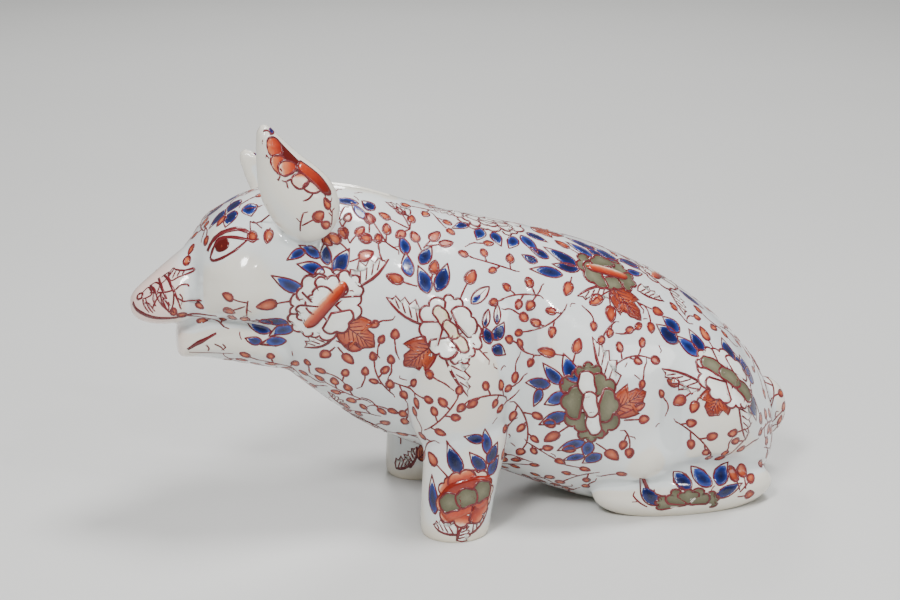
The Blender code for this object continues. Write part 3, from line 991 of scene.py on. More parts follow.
    def grow(self, centre: Spot, item: Item) -> None:
        """Paints one item of a spray."""
        kind, ahead, aside, heading, size, other = item
        spot = self.ground.reach(centre, ahead, aside).turned(heading)
        if kind is Leaf.BERRY:
            self.stalk(spot, other, size)
        elif kind is Leaf.TWIG:
            self.twig(spot, size, other)
        else:
            paint = {Leaf.BLUE: self.blue_leaf, Leaf.ORANGE: self.orange_leaf, Leaf.WHITE: self.white_leaf}
            paint.get(kind, self.bud)(spot, size, other)

    def ring(
        self, centre: Spot, pigment: Pigment, length: float, width: float, count: int, layer: float,
        turn: float = 0.0, arc: float = 360.0, inner: float = 0.28, faded: bool = False,
    ) -> None:
        """Paints a ring of scalloped petals round a long heart, each one over the last.

        Args:
            centre: the flower's middle, heading along its length.
            pigment: the petals' colour.
            length: the ring's outer length.
            width: the ring's outer width.
            count: how many petals it has.
            layer: how many layers of enamel lie under it.
            turn: the angle where it starts, in degrees.
            arc: how far round it goes, in degrees.
            inner: how far out the petals start, as a share of the outer size.
            faded: whether each petal runs from deep red at its base to nothing at its rim.
        """
        angles = [math.radians(turn + arc * (n + 0.5) / count) for n in range(count)]
        for rank, n in enumerate(sorted(range(count), key=lambda n: n % 2)):
            rim = Vector((0.5 * length * math.cos(angles[n]), 0.5 * width * math.sin(angles[n])))
            reach = rim.length * (1.0 - inner) * self.random.uniform(0.95, 1.06)
            step = math.radians(arc / count)
            side = Vector(
                (0.5 * length * math.cos(angles[n] + step), 0.5 * width * math.sin(angles[n] + step))
            )
            half = min(0.98, 0.56 * (side - rim).length / (reach * 0.9))
            spread = 2.0 * math.degrees(math.asin(half)) + 14.0
            base = self.ground.reach(centre, inner * rim.x, inner * rim.y)
            base = base.turned(math.degrees(math.atan2(rim.y, rim.x)))
            level = layer + 0.9 * rank
            lobes = 2 + (n + count) % 2
            if faded:
                outline = petal(reach, spread, lobes)
                self.brushes[pigment].patch(base, outline, level, (0.05, 1.15 / reach, 0.0))
                self.brushes[Pigment.RED].line(base, outline, self.outline_width, closed=True, layer=level)
            else:
                self.filled(pigment, base, petal(reach, spread, lobes), level, 1.0, slip=0.12)

    def chain(
        self, centre: Spot, pigment: Pigment, length: float, width: float, count: int, layer: float
    ) -> None:
        """Paints a chain of lobes along the brush's heading."""
        for n in range(count):
            share = (n + 0.5) / count - 0.5
            spot = self.ground.reach(centre, share * length, 0.0)
            lobe = lozenge(1.3 * length / count, width * self.random.uniform(0.9, 1.08), 0.11, 26, 0.8)
            self.filled(pigment, spot, lobe, layer + 1.1 * (n % 2), slip=0.12)

    def heart_bar(self, centre: Spot, length: float, width: float, layer: float) -> None:
        """Paints a bar that runs from orange on one side to deep red on the other."""
        outline = lozenge(length, width, 0.08, 32)
        self.brushes[Pigment.WASH].patch(centre, outline, layer, (0.42, 0.0, 0.9 / width))
        lower = [(a, b) for a, b in outline[17:32]]
        self.brushes[Pigment.RED].line(centre, lower, 0.5, layer=layer)

    def peony(self, centre: Spot, plan: Spray) -> None:
        """Paints one peony with its middle at the brush."""
        petals, heart = plan.bloom.value
        spot = centre.turned(plan.lean)
        length, width = plan.length, plan.width
        for share in (-0.3, 0.0, 0.3):
            place = spot.place + spot.heading * (share * length * MM)
            self.take(place, 0.46 * width)
        if plan.bloom is Bloom.RED_BAND:
            self.ring(spot, petals, length, 1.45 * width, 7, 0.5, 12.0, inner=0.3, faded=True)
            band = lozenge(0.98 * length, 0.88 * width, 0.09, 40)
            self.brushes[petals].patch(spot, band, 7.2, (0.3, 0.0, -0.025))
            self.chain(spot, heart, plan.heart[0], plan.heart[1], 3, 8.2)
            return
        if plan.bloom is Bloom.HALF_OLIVE:
            self.ring(spot, petals, length, 2.0 * width, 5, 0.5, 0.0, 180.0, 0.1)
            return
        count = round((length + width) / 7.6)
        self.ring(spot, petals, length, width, count, 0.5, 12.0)
        if plan.bloom in (Bloom.RED_BAR, Bloom.PLAIN):
            self.ring(spot, petals, 0.84 * length, 0.60 * width, 3, 8.0, 10.0, 160.0, 0.1)
        if heart is Pigment.WASH:
            self.heart_bar(spot, plan.heart[0], plan.heart[1], 11.0)
        else:
            self.chain(spot, heart, plan.heart[0], plan.heart[1], 3, 9.0)

    def spray(self, plan: Spray, hand: int) -> None:
        """Paints a peony and everything that grows round it, on one side."""
        centre = self.ground.spot(*plan.place, hand)
        for item in plan.items:
            self.grow(centre, item)
        if plan.bloom is not None:
            self.peony(centre, plan)

    def strokes(self, spot: Spot, paths: Sequence[Outline], width: float, layer: float = 0.0) -> None:
        """Draws flowing lines through points given in a place's own millimetres."""
        for path in paths:
            self.brushes[Pigment.RED].line(spot, rounded(path, closed=False), width, layer=layer)

    def sprig(self, start: Spot, count: int) -> bool:
        """Paints a sprig of berries where it finds room.

        Args:
            start: the foot of the sprig, heading along its stem.
            count: how many berries it carries.

        Returns:
            Whether there was room.
        """
        pick = self.random.uniform
        gap = pick(*self.berry_gap)
        way = self.ground.trail(start, gap * count, pick(-60, 60))
        stalks = []
        side = self.random.choice((-1, 1))
        for number in range(count):
            foot = way[min(len(way) - 1, round((number + 0.5) * len(way) / count))]
            side = -side
            turn = side * pick(*self.stalk_turn)
            if number == count - 1:
                foot, turn = way[-1], pick(-20, 20)
            stalks.append(self.ground.trail(foot.turned(turn), pick(*self.stalk_length), pick(-20, 20)))
        sizes = [pick(*self.berry_size) for _ in stalks]
        middles = [
            path[-1].place + path[-1].heading * (0.5 * size * MM) for path, size in zip(stalks, sizes)
        ]
        if not all(self.is_free(place, 0.5 * size) for place, size in zip(middles, sizes)):
            return False
        if any((a - b).length < self.berry_apart * MM for n, a in enumerate(middles) for b in middles[:n]):
            return False
        if not all(self.is_free(spot.place, 0.35) for spot in way[1:]):
            return False
        if min(place.z for place in middles) < self.lowest_berry:
            return False
        vine = self.brushes[Pigment.VINE]
        vine.stem(way, self.vine_width)
        for path, size in zip(stalks, sizes):
            vine.stem(path, 0.85)
            self.berry(path[-1], size, round_=self.random.random() < 0.4)
        for spot in way[::2]:
            self.take(spot.place, 0.6)
        vine.stem(self.ground.trail(way[0].turned(180 + pick(-50, 50)), pick(1.4, 2.6)), 0.5)
        return True

    def tick(self, start: Spot) -> bool:
        """Paints a small forked mark where it finds room, and says whether it did."""
        if not self.is_free(start.place, 1.5):
            return False
        vine = self.brushes[Pigment.VINE]
        pick = self.random.uniform
        vine.stem(self.ground.trail(start, pick(1.6, 3.4), pick(-60, 60), step=0.8), 0.5)
        if pick(0, 1) < 0.6:
            vine.stem(self.ground.trail(start.turned(pick(100, 150)), pick(1.0, 1.8), step=0.8), 0.45)
        self.take(start.place, 1.8)
        return True

    def scattered(self) -> Spot | None:
        """Picks a place for a sprig anywhere on the painted skin, or None where the pig stays white."""
        pick = self.random.uniform
        x, angle = pick(*self.length_span), math.radians(pick(-180, 180))
        out = Vector((0.0, math.sin(angle), math.cos(angle)))
        axis = Vector((x, 0.0, self.axis_height - self.axis_fall * x)) * MM
        place, _, _, _ = self.ground.tree.ray_cast(axis + out * 0.15, -out)
        if place is None:
            return None
        on_sole = place.z < 0.006
        on_ear = place.z > 0.144 and abs(place.y) < 0.030
        if on_sole or on_ear:
            return None
        return self.ground.settle(place, Vector((pick(-1, 1), pick(-1, 1), pick(-1, 1))))

    def fill_gaps(self) -> None:
        """Fills what is left with sprigs, biggest first, and then with small marks."""
        for count, tries in self.sprigs:
            for _ in range(tries):
                start = self.scattered()
                if start is not None:
                    self.sprig(start, count)
        for _ in range(self.ticks):
            start = self.scattered()
            if start is not None:
                self.tick(start)


# The plans. They use one letter for each kind of leaf, to keep a spray in view
B, O, W, U, S, T = Leaf.BLUE, Leaf.ORANGE, Leaf.WHITE, Leaf.BUD, Leaf.BERRY, Leaf.TWIG
NECK = Spray((-66, -34, 98), Bloom.RED_BAR, 48, 34, 27, (25, 5), (
    (B, 4, 12, 59, 11.5, 6), (B, 1.5, 16, 95, 8.5, 4.4), (B, -1.5, 19, 150, 9, 4.2),
    (B, -7, 22, 205, 8, 3.6), (B, 0, 13, 163, 11, 4.8), (B, -8, 6, 150, 14, 5),
    (B, -15, -8, 170, 14.5, 4.6), (B, -13, -9.5, 207, 11, 5), (B, -23, -13.5, 163, 10, 4),
    (B, -17, -17, 188, 10.5, 4), (B, -26.5, -18, 175, 6.5, 3.6), (S, -10, 2.5, 178, 8, 9),
    (S, 10, 17, 15, 6.5, 4), (S, 10, 21, 125, 6, 5), (O, 6, -7, -42, 17, 16), (W, 12, 7, 38, 18, 10),
    (W, 2, -14, 205, 13, 9), (S, 3.5, -15, -35, 5.5, 5), (S, 4, -18, -62, 6, 4),
    (S, 3, -18, -128, 5, 3.5)))
SHOULDER = Spray((-18, -43, 87), Bloom.FADED, -60, 31, 22, (20, 4.6), (
    (B, -8, 15, 105, 11, 5.6), (B, -4.5, 15.5, 65, 12.5, 5.6), (B, -10, 27, 55, 9, 5),
    (B, -14.5, 22, 95, 9.5, 5), (B, -15.5, 31, 100, 8, 4.6), (U, 9, 10, 38, 11, 4.6),
    (B, 16, -6, 115, 7, 4.4), (B, 17, -5, 50, 8, 5.2), (B, 17, -7, -20, 6.5, 4.8),
    (U, 13.5, 0, 70, 7.5, 3), (U, 19, 1, 80, 8, 3), (S, -6.5, 20, 68, 6, 3), (S, -12, 18, 165, 7, 6),
    (S, -9, 33, 108, 5, 4), (S, -8, 34, 50, 6.5, 5), (S, -7, 35, 5, 6, 6), (S, 4, 10.5, 68, 7, 9),
    (O, -7, -5, 215, 16, 15), (W, -11, 3, 140, 18, 9), (W, -3, -8, -62, 26, 10), (T, 10, -3, -18, 9, 20),
    (T, 8, -6, -50, 10, 10)))
FORELEG = Spray((-14, -50, 19), Bloom.RED_BAND, 15, 28, 17, (21, 8), (
    (B, -2, 10, 115, 13, 6), (B, 8.5, 11, 132, 10, 5), (B, 9.5, 17, 95, 10, 4.4),
    (B, 9.5, 13, 55, 9, 5.4), (B, 10, 8, 50, 8.5, 5.4), (B, 8, 23, 168, 8, 4), (B, -13.5, -7, 95, 15, 5),
    (S, -6, 7, 130, 7, 9), (W, -4, -15, 165, 14, 7), (W, -4, -18, 62, 9, 6), (W, 1, -15.5, 38, 14, 7)))
SPINE = Spray((6, -4, 120), Bloom.PLAIN, 174, 32, 18, (16, 5), (
    (B, -9, -6, 215, 9, 4), (B, -4, -8, 250, 8, 5), (B, 1, -9, 285, 8, 5), (B, 10, -10, 245, 8, 5),
    (B, 13, -8, 300, 11, 5), (B, 16, -5, 330, 9, 4), (W, -14, 2, 170, 12, 6), (O, 20, 2, -8, 14, 12)))
BACK = Spray((52, -21, 100), Bloom.OLIVE_RED, -8, 28, 19, (19, 4.4), (
    (B, -13, 1, 146, 15, 6), (B, -13, -1, 172, 11, 4.6), (B, -25.5, 3.5, 145, 9, 4.4),
    (B, -21, -4.5, 172, 13, 5), (B, -31, 1, 150, 6.5, 4), (B, -4, 8, 140, 12, 4.6),
    (B, 2, 7, 132, 10, 4.4), (B, 8, 7, 130, 13, 6), (B, 11, 3, 10, 8, 4), (B, 11, 12, -20, 11, 5),
    (B, -1, 14, 145, 12, 5), (O, 0.5, -8, -50, 18, 13), (W, -1, -8, 202, 16, 8), (W, 13, -7, -12, 13, 7),
    (S, -1, -10, 207, 7, 5), (S, -1.5, -11, -90, 7, 6), (S, 0, -11, -56, 5.5, 5), (S, -7, 6, 150, 6.5, 9),
    (S, -17, -5, -110, 6.5, 3), (S, 11, -13, -25, 5, 8), (T, 10, -11, -60, 7, 10)))
FLANK = Spray((37, -50, 54), Bloom.OLIVE_RING, 99, 36, 23, (25, 6.4), (
    (B, -5.5, 9, 113, 12, 6), (B, -11, 8.5, 135, 11, 5), (B, -16, 8, 178, 10, 4.8),
    (B, -20, 6, 248, 8, 3.8), (B, -10, 5, 212, 10, 5), (B, -9, -4, 208, 13, 5.2),
    (B, -2, -17, 210, 12, 5), (B, 0, -17, 260, 9, 5), (B, -2, -25, 205, 9, 4), (B, 5, -24, 220, 9, 5.6),
    (O, 9, -3, 20, 17, 14), (W, 8, 6, 103, 23, 9.5), (S, -6.5, -8, 217, 8, 8), (S, -12, -9, 180, 5, 2),
    (S, -7, 16, 80, 6, 5), (S, -10, 20, 180, 7, 4), (S, 2.5, -18, -36, 7, 6), (S, -3, -20, 210, 5.5, 3),
    (S, 11, -6, 18, 5, 8), (S, 14, -8, -5, 4.5, 7)))
RUMP = Spray((98, -43, 58), Bloom.OLIVE_BAR, -35, 33, 26, (26, 6), (
    (B, -12, 9.5, 137, 12, 5.6), (B, -9.5, 11, 112, 11, 5.6), (B, -21, 15, 140, 11, 7),
    (B, -19, 20, 138, 9, 6.2), (B, 6, 9.5, 95, 11, 7), (B, 11, 3, 98, 11, 7), (B, 15, 4, 95, 10, 7),
    (B, 15, 1, 70, 9, 7), (B, 9.5, -5, -44, 14, 7), (O, -5, -6, 240, 13, 15), (W, -13, -3, 156, 19, 8),
    (W, 3, -11, -56, 20, 9.5), (S, -14, -5, 168, 5.5, 9), (S, -18, -6, 215, 5.5, 3),
    (S, -15, -8, 250, 5, 2), (S, -2, 9, 115, 7, 9), (S, 16, -6, -40, 5, 9)))
HIND_FOOT = Spray((80, -47, 5), Bloom.HALF_OLIVE, 0, 28, 8, (0, 0), (
    (B, -13, 1, 128, 12, 6), (B, 1, 7.5, 130, 10, 6.4), (B, 10, 8, 132, 11, 6.4), (B, 13, 8, 58, 10, 6.4),
    (B, 12, 3, 20, 13, 5), (T, 1, 5, 135, 9, 10), (S, 23, 4, 97, 7, 4), (S, 26, 4, 82, 7, 5),
    (S, 23, 3, 32, 4.6, 6), (S, 22, 1, -15, 4.6, 4), (T, -8, 3, 140, 7, 20), (T, -17, 0, 160, 8, -30)))
CROWN = Spray((-102, -24, 121), None, items=(
    (B, 5, 26, 225, 9, 6), (B, 3, 19, 250, 9, 6), (B, 9, 20.5, 280, 7.5, 6.5), (S, -1, 19, 252, 6, 1),
    (B, -2, 23, 228, 10, 5), (S, 17.5, 5.5, 262, 6, 0.5)))
NAPE = Spray((-45, -20, 131), None, items=(
    (B, -3, 6, 170, 11, 4), (B, 3, 3, 130, 6, 5.5), (B, -1, -2, 120, 9, 4), (W, 18, 2, 140, 11, 7)))
CHEST = Spray((-46, -2, 40), Bloom.RED_BAR, 60, 26, 20, (18, 4.4), (
    (S, 9, 9, 45, 5, 5), (S, 3, 12, 85, 5, 4), (S, -8, 10, 140, 5, 4), (B, -10, -7, 215, 11, 5),
    (O, 8, -8, -50, 13, 12), (W, -14, 12, 150, 10, 6)))
RUMP_TOP = Spray((80, -3, 93), Bloom.RED_BAR, 60, 28, 21, (20, 4.6), (
    (B, 11, 3, 20, 12, 5), (B, 10, -5, -20, 12, 5), (B, -11, -3, 200, 12, 5), (B, -9, 6, 150, 12, 5),
    (O, -2, 11, 110, 14, 13), (W, 3, -12, -60, 14, 7), (S, 8, 9, 60, 6, 5)))
WITHERS = Spray((-20, 24, 123), Bloom.OLIVE_RED, 15, 26, 19, (18, 4.4), (
    (B, 13, 2, 20, 12, 5), (B, 12, -4, -15, 11, 5), (B, -13, 2, 165, 12, 5), (B, -12, -5, 200, 11, 5),
    (O, 1, -9, -70, 14, 12), (W, 5, 9, 60, 13, 7)))
TAIL_SIDE = Spray((128, -4, 55), Bloom.OLIVE_BAR, 90, 20, 15, (14, 4), (
    (B, 4, 8, 60, 9, 4.4), (B, -4, 8, 120, 9, 4.4), (W, 5, -7, -60, 11, 6)))
EAR_ROOT = Spray((-57, -24, 126), None, items=(
    (T, 2.4, -6.3, 107, 10, 0), (T, -0.5, 4, 75, 7, -20), (S, 0, 0.4, 50, 4.4, 3.5),
    (S, 0, 1.4, 265, 5, 0.8), (S, 2.4, -6.3, 55, 5, 4.4), (S, 10.8, -2, 80, 5, 4),
    (S, 14, -6.2, 165, 5, 3), (S, -9, -2, 320, 4.6, 1.6)))
MOUTH_CORNER = Spray((-101, -31, 100), None, items=(
    (T, 5, 3, 265, 9, 10), (S, 5, 2, 178, 4.6, 6), (S, 4, 0, 212, 5.4, 6), (S, 5, -7, 255, 5, 1),
    (S, -1, -8, 262, 5.4, 1), (S, 8, -9, 340, 5.4, 2)))
FAR_FOOT = Spray((-26, 24, 12), None, items=(
    (W, -4, -7, 20, 11, 6), (W, 3, -6, 70, 10, 6), (S, -1, 4, 80, 5, 3), (S, 3, 8, 100, 5, 2),
    (O, 7, -2, 40, 9, 8)))
NEAR_FOOT = Spray((-17, -23, 14), None, items=(
    (W, -8, -8, 25, 12, 7), (W, 2, -9, 60, 12, 7), (O, -5, 1, 70, 10, 9), (S, -7, 6, 110, 5, 3),
    (B, 5, 4, 80, 10, 4.6)))
NECK_TOP = Spray((-29, -20, 123), None, items=(
    (S, -11, -6.7, 116, 5, 9.5), (S, -11, -6.7, 81, 5, 3.5), (S, -11, -6.7, 166, 5, 6),
    (S, 0, 0, 155, 4.8, 9), (S, 0, 0, 98, 4.8, 7.5), (S, 0, 0, 84, 4.6, 3.5), (S, 0, 0, 202, 4.8, 3),
    (T, -11, -6.7, -40, 6, 10)))
# What is painted on each side, in order: 1 is the pig's left, -1 its right
SPRAYS = {
    1: (
        NECK_TOP, EAR_ROOT, MOUTH_CORNER, FAR_FOOT, NEAR_FOOT, NECK, SHOULDER, FORELEG, SPINE, BACK, FLANK,
        RUMP, HIND_FOOT, CROWN, NAPE, RUMP_TOP, WITHERS, CHEST, TAIL_SIDE,
    ),
    -1: (
        NECK_TOP, EAR_ROOT, MOUTH_CORNER, NECK, SHOULDER, FORELEG, BACK, FLANK, RUMP, HIND_FOOT, CROWN, NAPE,
    ),
}


@dataclass(frozen=True)
class Face:
    """One side of the pig's face: eye, brow, snout and jaw, in millimetres round each place."""

    eye: tuple[float, float, float] = (-102, -24, 121)
    snout: tuple[float, float, float] = (-126, -13, 101)
    jaw: tuple[float, float, float] = (-112, -13, 81)
    lower_lid: tuple = ((-9.0, -2.4), (-7.0, -3.9), (-2.2, -3.8), (2.8, -2.0), (6.2, 0.6), (8.4, 2.6))
    upper_lid: tuple = ((-9.0, -2.4), (-7.4, 0.8), (-4.0, 4.4), (1.3, 4.4), (7.6, 2.7), (10.5, 2.0),
     (13.2, 2.6))
    brow: tuple = ((-10.8, 1.2), (-7.8, 4.4), (-3.0, 7.2), (2.9, 8.3), (6.9, 7.0), (9.2, 5.2))
    twigs: tuple = (
        ((9.4, 6.3), (8.8, 11.8)), ((8.8, 11.8), (11.5, 10.6), (17.6, 12.8), (20.0, 15.0)),
        ((10.0, 11.6), (12.0, 10.0), (14.3, 7.6)), ((5.0, 20.6), (10.5, 20.4), (14.0, 22.4)),
    )
    scrawl: tuple = (
        ((-11.0, 3.4), (-8.5, 5.6), (-6.6, 3.6), (-6.1, 1.3), (-8.0, 0.5), (-10.4, 0.4)),
        ((-6.1, 2.0), (-7.5, 5.4), (-5.2, 7.0), (-2.4, 4.6), (-3.8, 1.5), (-6.1, 2.0)),
        ((-2.4, 8.8), (0.9, 10.2), (1.9, 8.4), (0.0, 6.3), (-2.4, 4.6)),
        ((-10.4, 0.4), (-9.9, -2.7), (-8.5, -6.3)), ((-9.0, 0.3), (-8.0, -3.9), (-6.6, -7.0)),
        ((-5.2, 1.2), (-5.4, -1.4), (-4.7, -4.1)), ((-4.2, 1.1), (-2.8, -2.6), (0.0, -8.0)),
        ((-6.1, -4.2), (-4.2, -1.6), (-2.2, 0.2)), ((-7.0, 2.2), (-0.5, 0.8), (4.7, 1.0)),
        ((3.8, 0.2), (2.8, -4.6), (0.9, -8.3)), ((4.7, 1.0), (7.1, 2.6), (9.9, 2.2), (10.4, 1.2)),
        ((5.2, -2.6), (8.0, -5.2), (11.4, -6.6)), ((-1.2, -1.0), (0.6, -4.6), (0.2, -7.6)),
        ((6.0, -1.0), (7.4, -3.6), (6.6, -7.4)), ((-9.6, -1.6), (-7.4, -2.6), (-5.6, -6.4)),
    )
    slashes: tuple = (
        ((-3.8, 9.2), (-1.9, 4.4), (0.0, -1.0), (2.6, -11.0)),
        ((-1.4, 9.9), (1.9, 5.2), (4.2, -0.8), (6.9, -10.6)),
        ((-1.9, 0.8), (-1.4, -3.6), (0.9, -10.6)), ((-7.6, 6.6), (-5.0, 3.0), (-3.6, 0.4)),
    )
    leaf: tuple = (
        ((0.9, 8.8), (2.8, 11.8), (4.2, 10.6), (7.5, 9.0), (11.6, 8.6), (11.8, 7.4), (6.1, 6.1), (2.8, 5.2),
         (0.9, 8.8)),
        ((3.4, 10.8), (1.9, 8.0)), ((4.8, 9.8), (3.4, 6.2)), ((6.8, 9.0), (5.4, 6.6)), ((8.8, 8.8),
         (7.8, 7.0)),
    )
    lip: tuple = (
        (-138, -4, 96), (-137, -7, 94), (-134, -10, 92.5), (-131, -12, 91.5), (-126, -14, 91),
        (-120, -15, 91),
        (-115, -15.5, 91), (-110, -17, 91.5), (-106, -19, 92),
    )
    jaw_line: tuple = ((-6.8, -4.4), (-3.0, -1.6), (1.0, 0.6), (6.0, 3.6))
    jaw_marks: tuple = (
        ((1.4, -1.6), (2.4, -3.4), (1.6, -5.8)), ((5.0, -1.0), (7.4, -2.4), (8.6, -4.6)),
        ((8.4, -0.8), (9.4, -2.6), (7.4, -4.6)), ((-6.4, -6.4), (-2.0, -7.2), (5.0, -7.4), (12.0, -7.0)),
    )

    def lip_line(self, painter: Painter, hand: int, lift: float) -> None:
        """Draws one run of the brush along the upper lip, some millimetres above its middle."""
        ground = painter.ground
        places = [ground.spot(x, y, z + lift, hand) for x, y, z in self.lip]
        way = []
        for first, second in zip(places, places[1:]):
            for step in range(4):
                place = first.place.lerp(second.place, step / 4)
                way.append(ground.settle(place, second.place - first.place, hand))
        painter.brushes[Pigment.RED].stem(way, 0.8)

    def paint(self, painter: Painter, hand: int) -> None:
        """Paints this side of the face; the pig's right side is the mirror of its left."""
        ground = painter.ground
        red = painter.brushes[Pigment.RED]
        eye = ground.spot(*self.eye, hand).turned(-7)
        pupil = [(a - 2.6, b + 1.6) for a, b in lozenge(6.8, 5.8, points=20, square=0.95)]
        painter.brushes[Pigment.WASH].patch(eye, pupil, 0.3, (-1.2, 0.0, 0.0))
        painter.strokes(eye, (self.lower_lid,), 1.3)
        painter.strokes(eye, (self.upper_lid,), 1.5, 0.8)
        painter.strokes(eye, (self.brow,), 2.3, 4.0)
        painter.strokes(eye, self.twigs, 0.75)
        painter.berry(ground.reach(eye, 9.5, 6.2).turned(-82), 5.0, round_=True)
        around_eye = ((-3, 0, 6.5), (3, 0, 5.5), (0, 7, 4.5), (7, 6, 4), (10, 11, 4), (16, 12, 3))
        for ahead, aside, radius in around_eye:
            painter.take(ground.reach(eye, ahead, aside).place, radius)
        snout = ground.spot(*self.snout, hand)
        ring = [(a - 12.2, b + 2.3) for a, b in lozenge(3.0, 3.0, points=14)]
        red.line(snout, ring, 1.1, closed=True)
        for paths, width in ((self.scrawl, 0.85), (self.slashes, 1.3), (self.leaf, 0.9)):
            painter.strokes(snout, paths, width, 0.3)
        painter.berry(ground.reach(snout, 11.4, -7.0), 3.8, round_=True)
        painter.berry(ground.reach(snout, 1.4, -9.6).turned(75), 3.6, round_=True)
        painter.berry(ground.reach(snout, 9.4, 15.0).turned(265), 4.2, round_=True)
        painter.berry(ground.reach(snout, 12.0, 19.6).turned(240), 4.4)
        for lift in (-0.5, 0.0, 0.5):
            self.lip_line(painter, hand, lift)
        jaw = ground.spot(*self.jaw, hand)
        painter.strokes(jaw, (self.jaw_line,), 1.7)
        painter.strokes(jaw, self.jaw_marks, 0.75)
        on_snout = ((-8, 0), (0, 0), (6, -2), (6, 6), (12, 2), (-4, 6), (0, 12), (8, 12), (14, 8), (16, -3))
        for ahead, aside in on_snout:
            painter.take(ground.reach(snout, ahead, aside).place, 6.0)
        for ahead in (-5, 2, 9):
            painter.take(ground.reach(jaw, ahead, -1).place, 6.5)


@dataclass(frozen=True)
class EarPainting:
    """The red peony over the back edge of one ear, in millimetres round a place on its outer face."""

    place: tuple[float, float, float] = (-75, -38, 151)
    turn: float = 0.0
    band: tuple = (
        (-0.7, 3.3), (1.0, 6.2), (2.6, 6.0), (7.7, 2.9), (11.5, -0.4), (15.2, -5.0), (14.0, -6.6),
        (10.3, -6.3),
        (6.2, -3.1), (2.0, 0.4),
    )
    wedge: tuple = (
        (-7.0, 14.6), (-4.0, 11.6), (0.5, 7.0), (2.2, 4.0), (-0.6, 1.6), (-4.6, 2.6), (-6.6, 5.0),
        (-7.6, 8.0),
        (-7.4, 11.6),
    )
    lobes: tuple = (
        ((-12.6, 13.4), (-11.1, 15.0), (-8.2, 15.2), (-6.2, 12.8), (-6.3, 8.9), (-8.5, 7.9), (-11.0, 7.8),
         (-12.7, 8.9), (-13.0, 11.3)),
        ((-11.0, 7.5), (-8.1, 8.2), (-5.7, 7.0), (-7.4, 4.3), (-8.2, 0.8), (-10.4, 1.3), (-12.3, 3.3),
         (-12.5, 5.4)),
        ((-8.5, 4.3), (-5.8, 6.0), (-2.1, 5.4), (-1.1, 3.3), (-3.2, 1.2), (-6.6, 0.0), (-8.7, 1.2)),
    )
    tones: tuple[float, ...] = (0.5, 0.9, 0.52)
    pale: tuple = (
        ((-3.7, -1.2), (-3.1, -3.5), (-0.6, -5.0), (2.4, -3.7), (3.5, -1.3), (0.8, 1.2), (-2.2, 0.4)),
        ((1.1, -3.7), (1.9, -5.5), (5.0, -6.6), (8.0, -5.7), (8.9, -4.3), (5.8, -2.6), (3.4, -1.9)),
    )
    roots: tuple = (
        ((-13.2, 6.6), (-15.2, 7.4), (-16.6, 6.0)), ((-8.6, 0.0), (-9.8, -1.8), (-10.8, -2.4)),
        ((-4.0, -1.2), (-6.4, -2.4), (-8.4, -2.0)), ((-6.0, -2.4), (-5.6, -5.4)),
        ((5.0, -6.8), (3.0, -9.0), (0.4, -10.2)), ((11.0, -6.8), (12.0, -9.4), (14.6, -9.6), (16.0, -7.6)),
        ((-15.4, 13.6), (-17.0, 13.0), (-16.6, 11.8)), ((-14.2, 17.6), (-11.6, 18.0), (-9.4, 16.8)),
    )
    items: tuple[Item, ...] = (
        (T, -0.3, -23.3, 92, 9, -20), (S, 0.6, -20.2, 40, 5.4, 5.2), (S, 14.4, -13.6, 125, 4.8, 2),
        (S, 15, -19.5, 180, 4.6, 1), (T, 15, -19, 100, 6, -10), (B, -10.4, 16.4, 60, 5, 2.2),
    )
    # Where no sprig may start: ahead, aside and radius
    covered: tuple = (
        (-12, 12, 7), (-10, 5, 6), (-4, 4, 7), (2, 1, 7), (8, -2, 7), (13, -6, 5), (-8, 22, 9),
        (-14, -6, 9),
        (-6, -14, 8), (-18, 2, 8),
    )

    def paint(self, painter: Painter, hand: int) -> None:
        """Paints this ear; the right one mirrors the left and hangs lower."""
        spot = painter.ground.spot(*self.place, hand).turned(self.turn)
        wash, red = painter.brushes[Pigment.WASH], painter.brushes[Pigment.RED]
        wash.patch(spot, rounded(self.wedge), 0.2, (0.2, 0.0, 0.0))
        for number, (lobe, tone) in enumerate(zip(self.lobes, self.tones)):
            middle = sum(point[0] for point in lobe) / len(lobe)
            layer = 1.4 + 1.2 * number
            wash.patch(spot, rounded(lobe), layer, (tone + 0.09 * middle, -0.09, 0.0))
            red.line(spot, rounded(lobe), 0.95, closed=True, layer=layer)
        for lobe in self.pale:
            wash.patch(spot, rounded(lobe), 0.4, (1.05 - 0.06 * lobe[0][1], 0.0, -0.12))
            red.line(spot, rounded(lobe), 0.95, closed=True, layer=0.4)
        wash.patch(spot, rounded(self.band), 5.6, (0.4, -0.016, 0.03))
        red.line(spot, rounded(self.band), 0.8, closed=True, layer=5.4)
        painter.strokes(spot, self.roots, 0.9)
        for item in self.items:
            painter.grow(spot, item)
        for ahead, aside, radius in self.covered:
            painter.take(painter.ground.reach(spot, ahead, aside).place, radius)


# Areas of the side that stay nearly white: their places and radii in millimetres
BLANKS = (
    (-92, -31, 109, 11), (-101, -26, 108, 7), (-86, -33, 120, 5), (66, -52, 33, 8), (70, -50, 20, 8),
    (50, -47, 8, 9), (-113, -15, 112, 5), (-115, -15, 105, 5), (60, -46, 16, 6), (34, -47, 82, 5),
    (76, -47, 56, 5), (112, -40, 22, 6), (-14, -50, 45, 6),
)


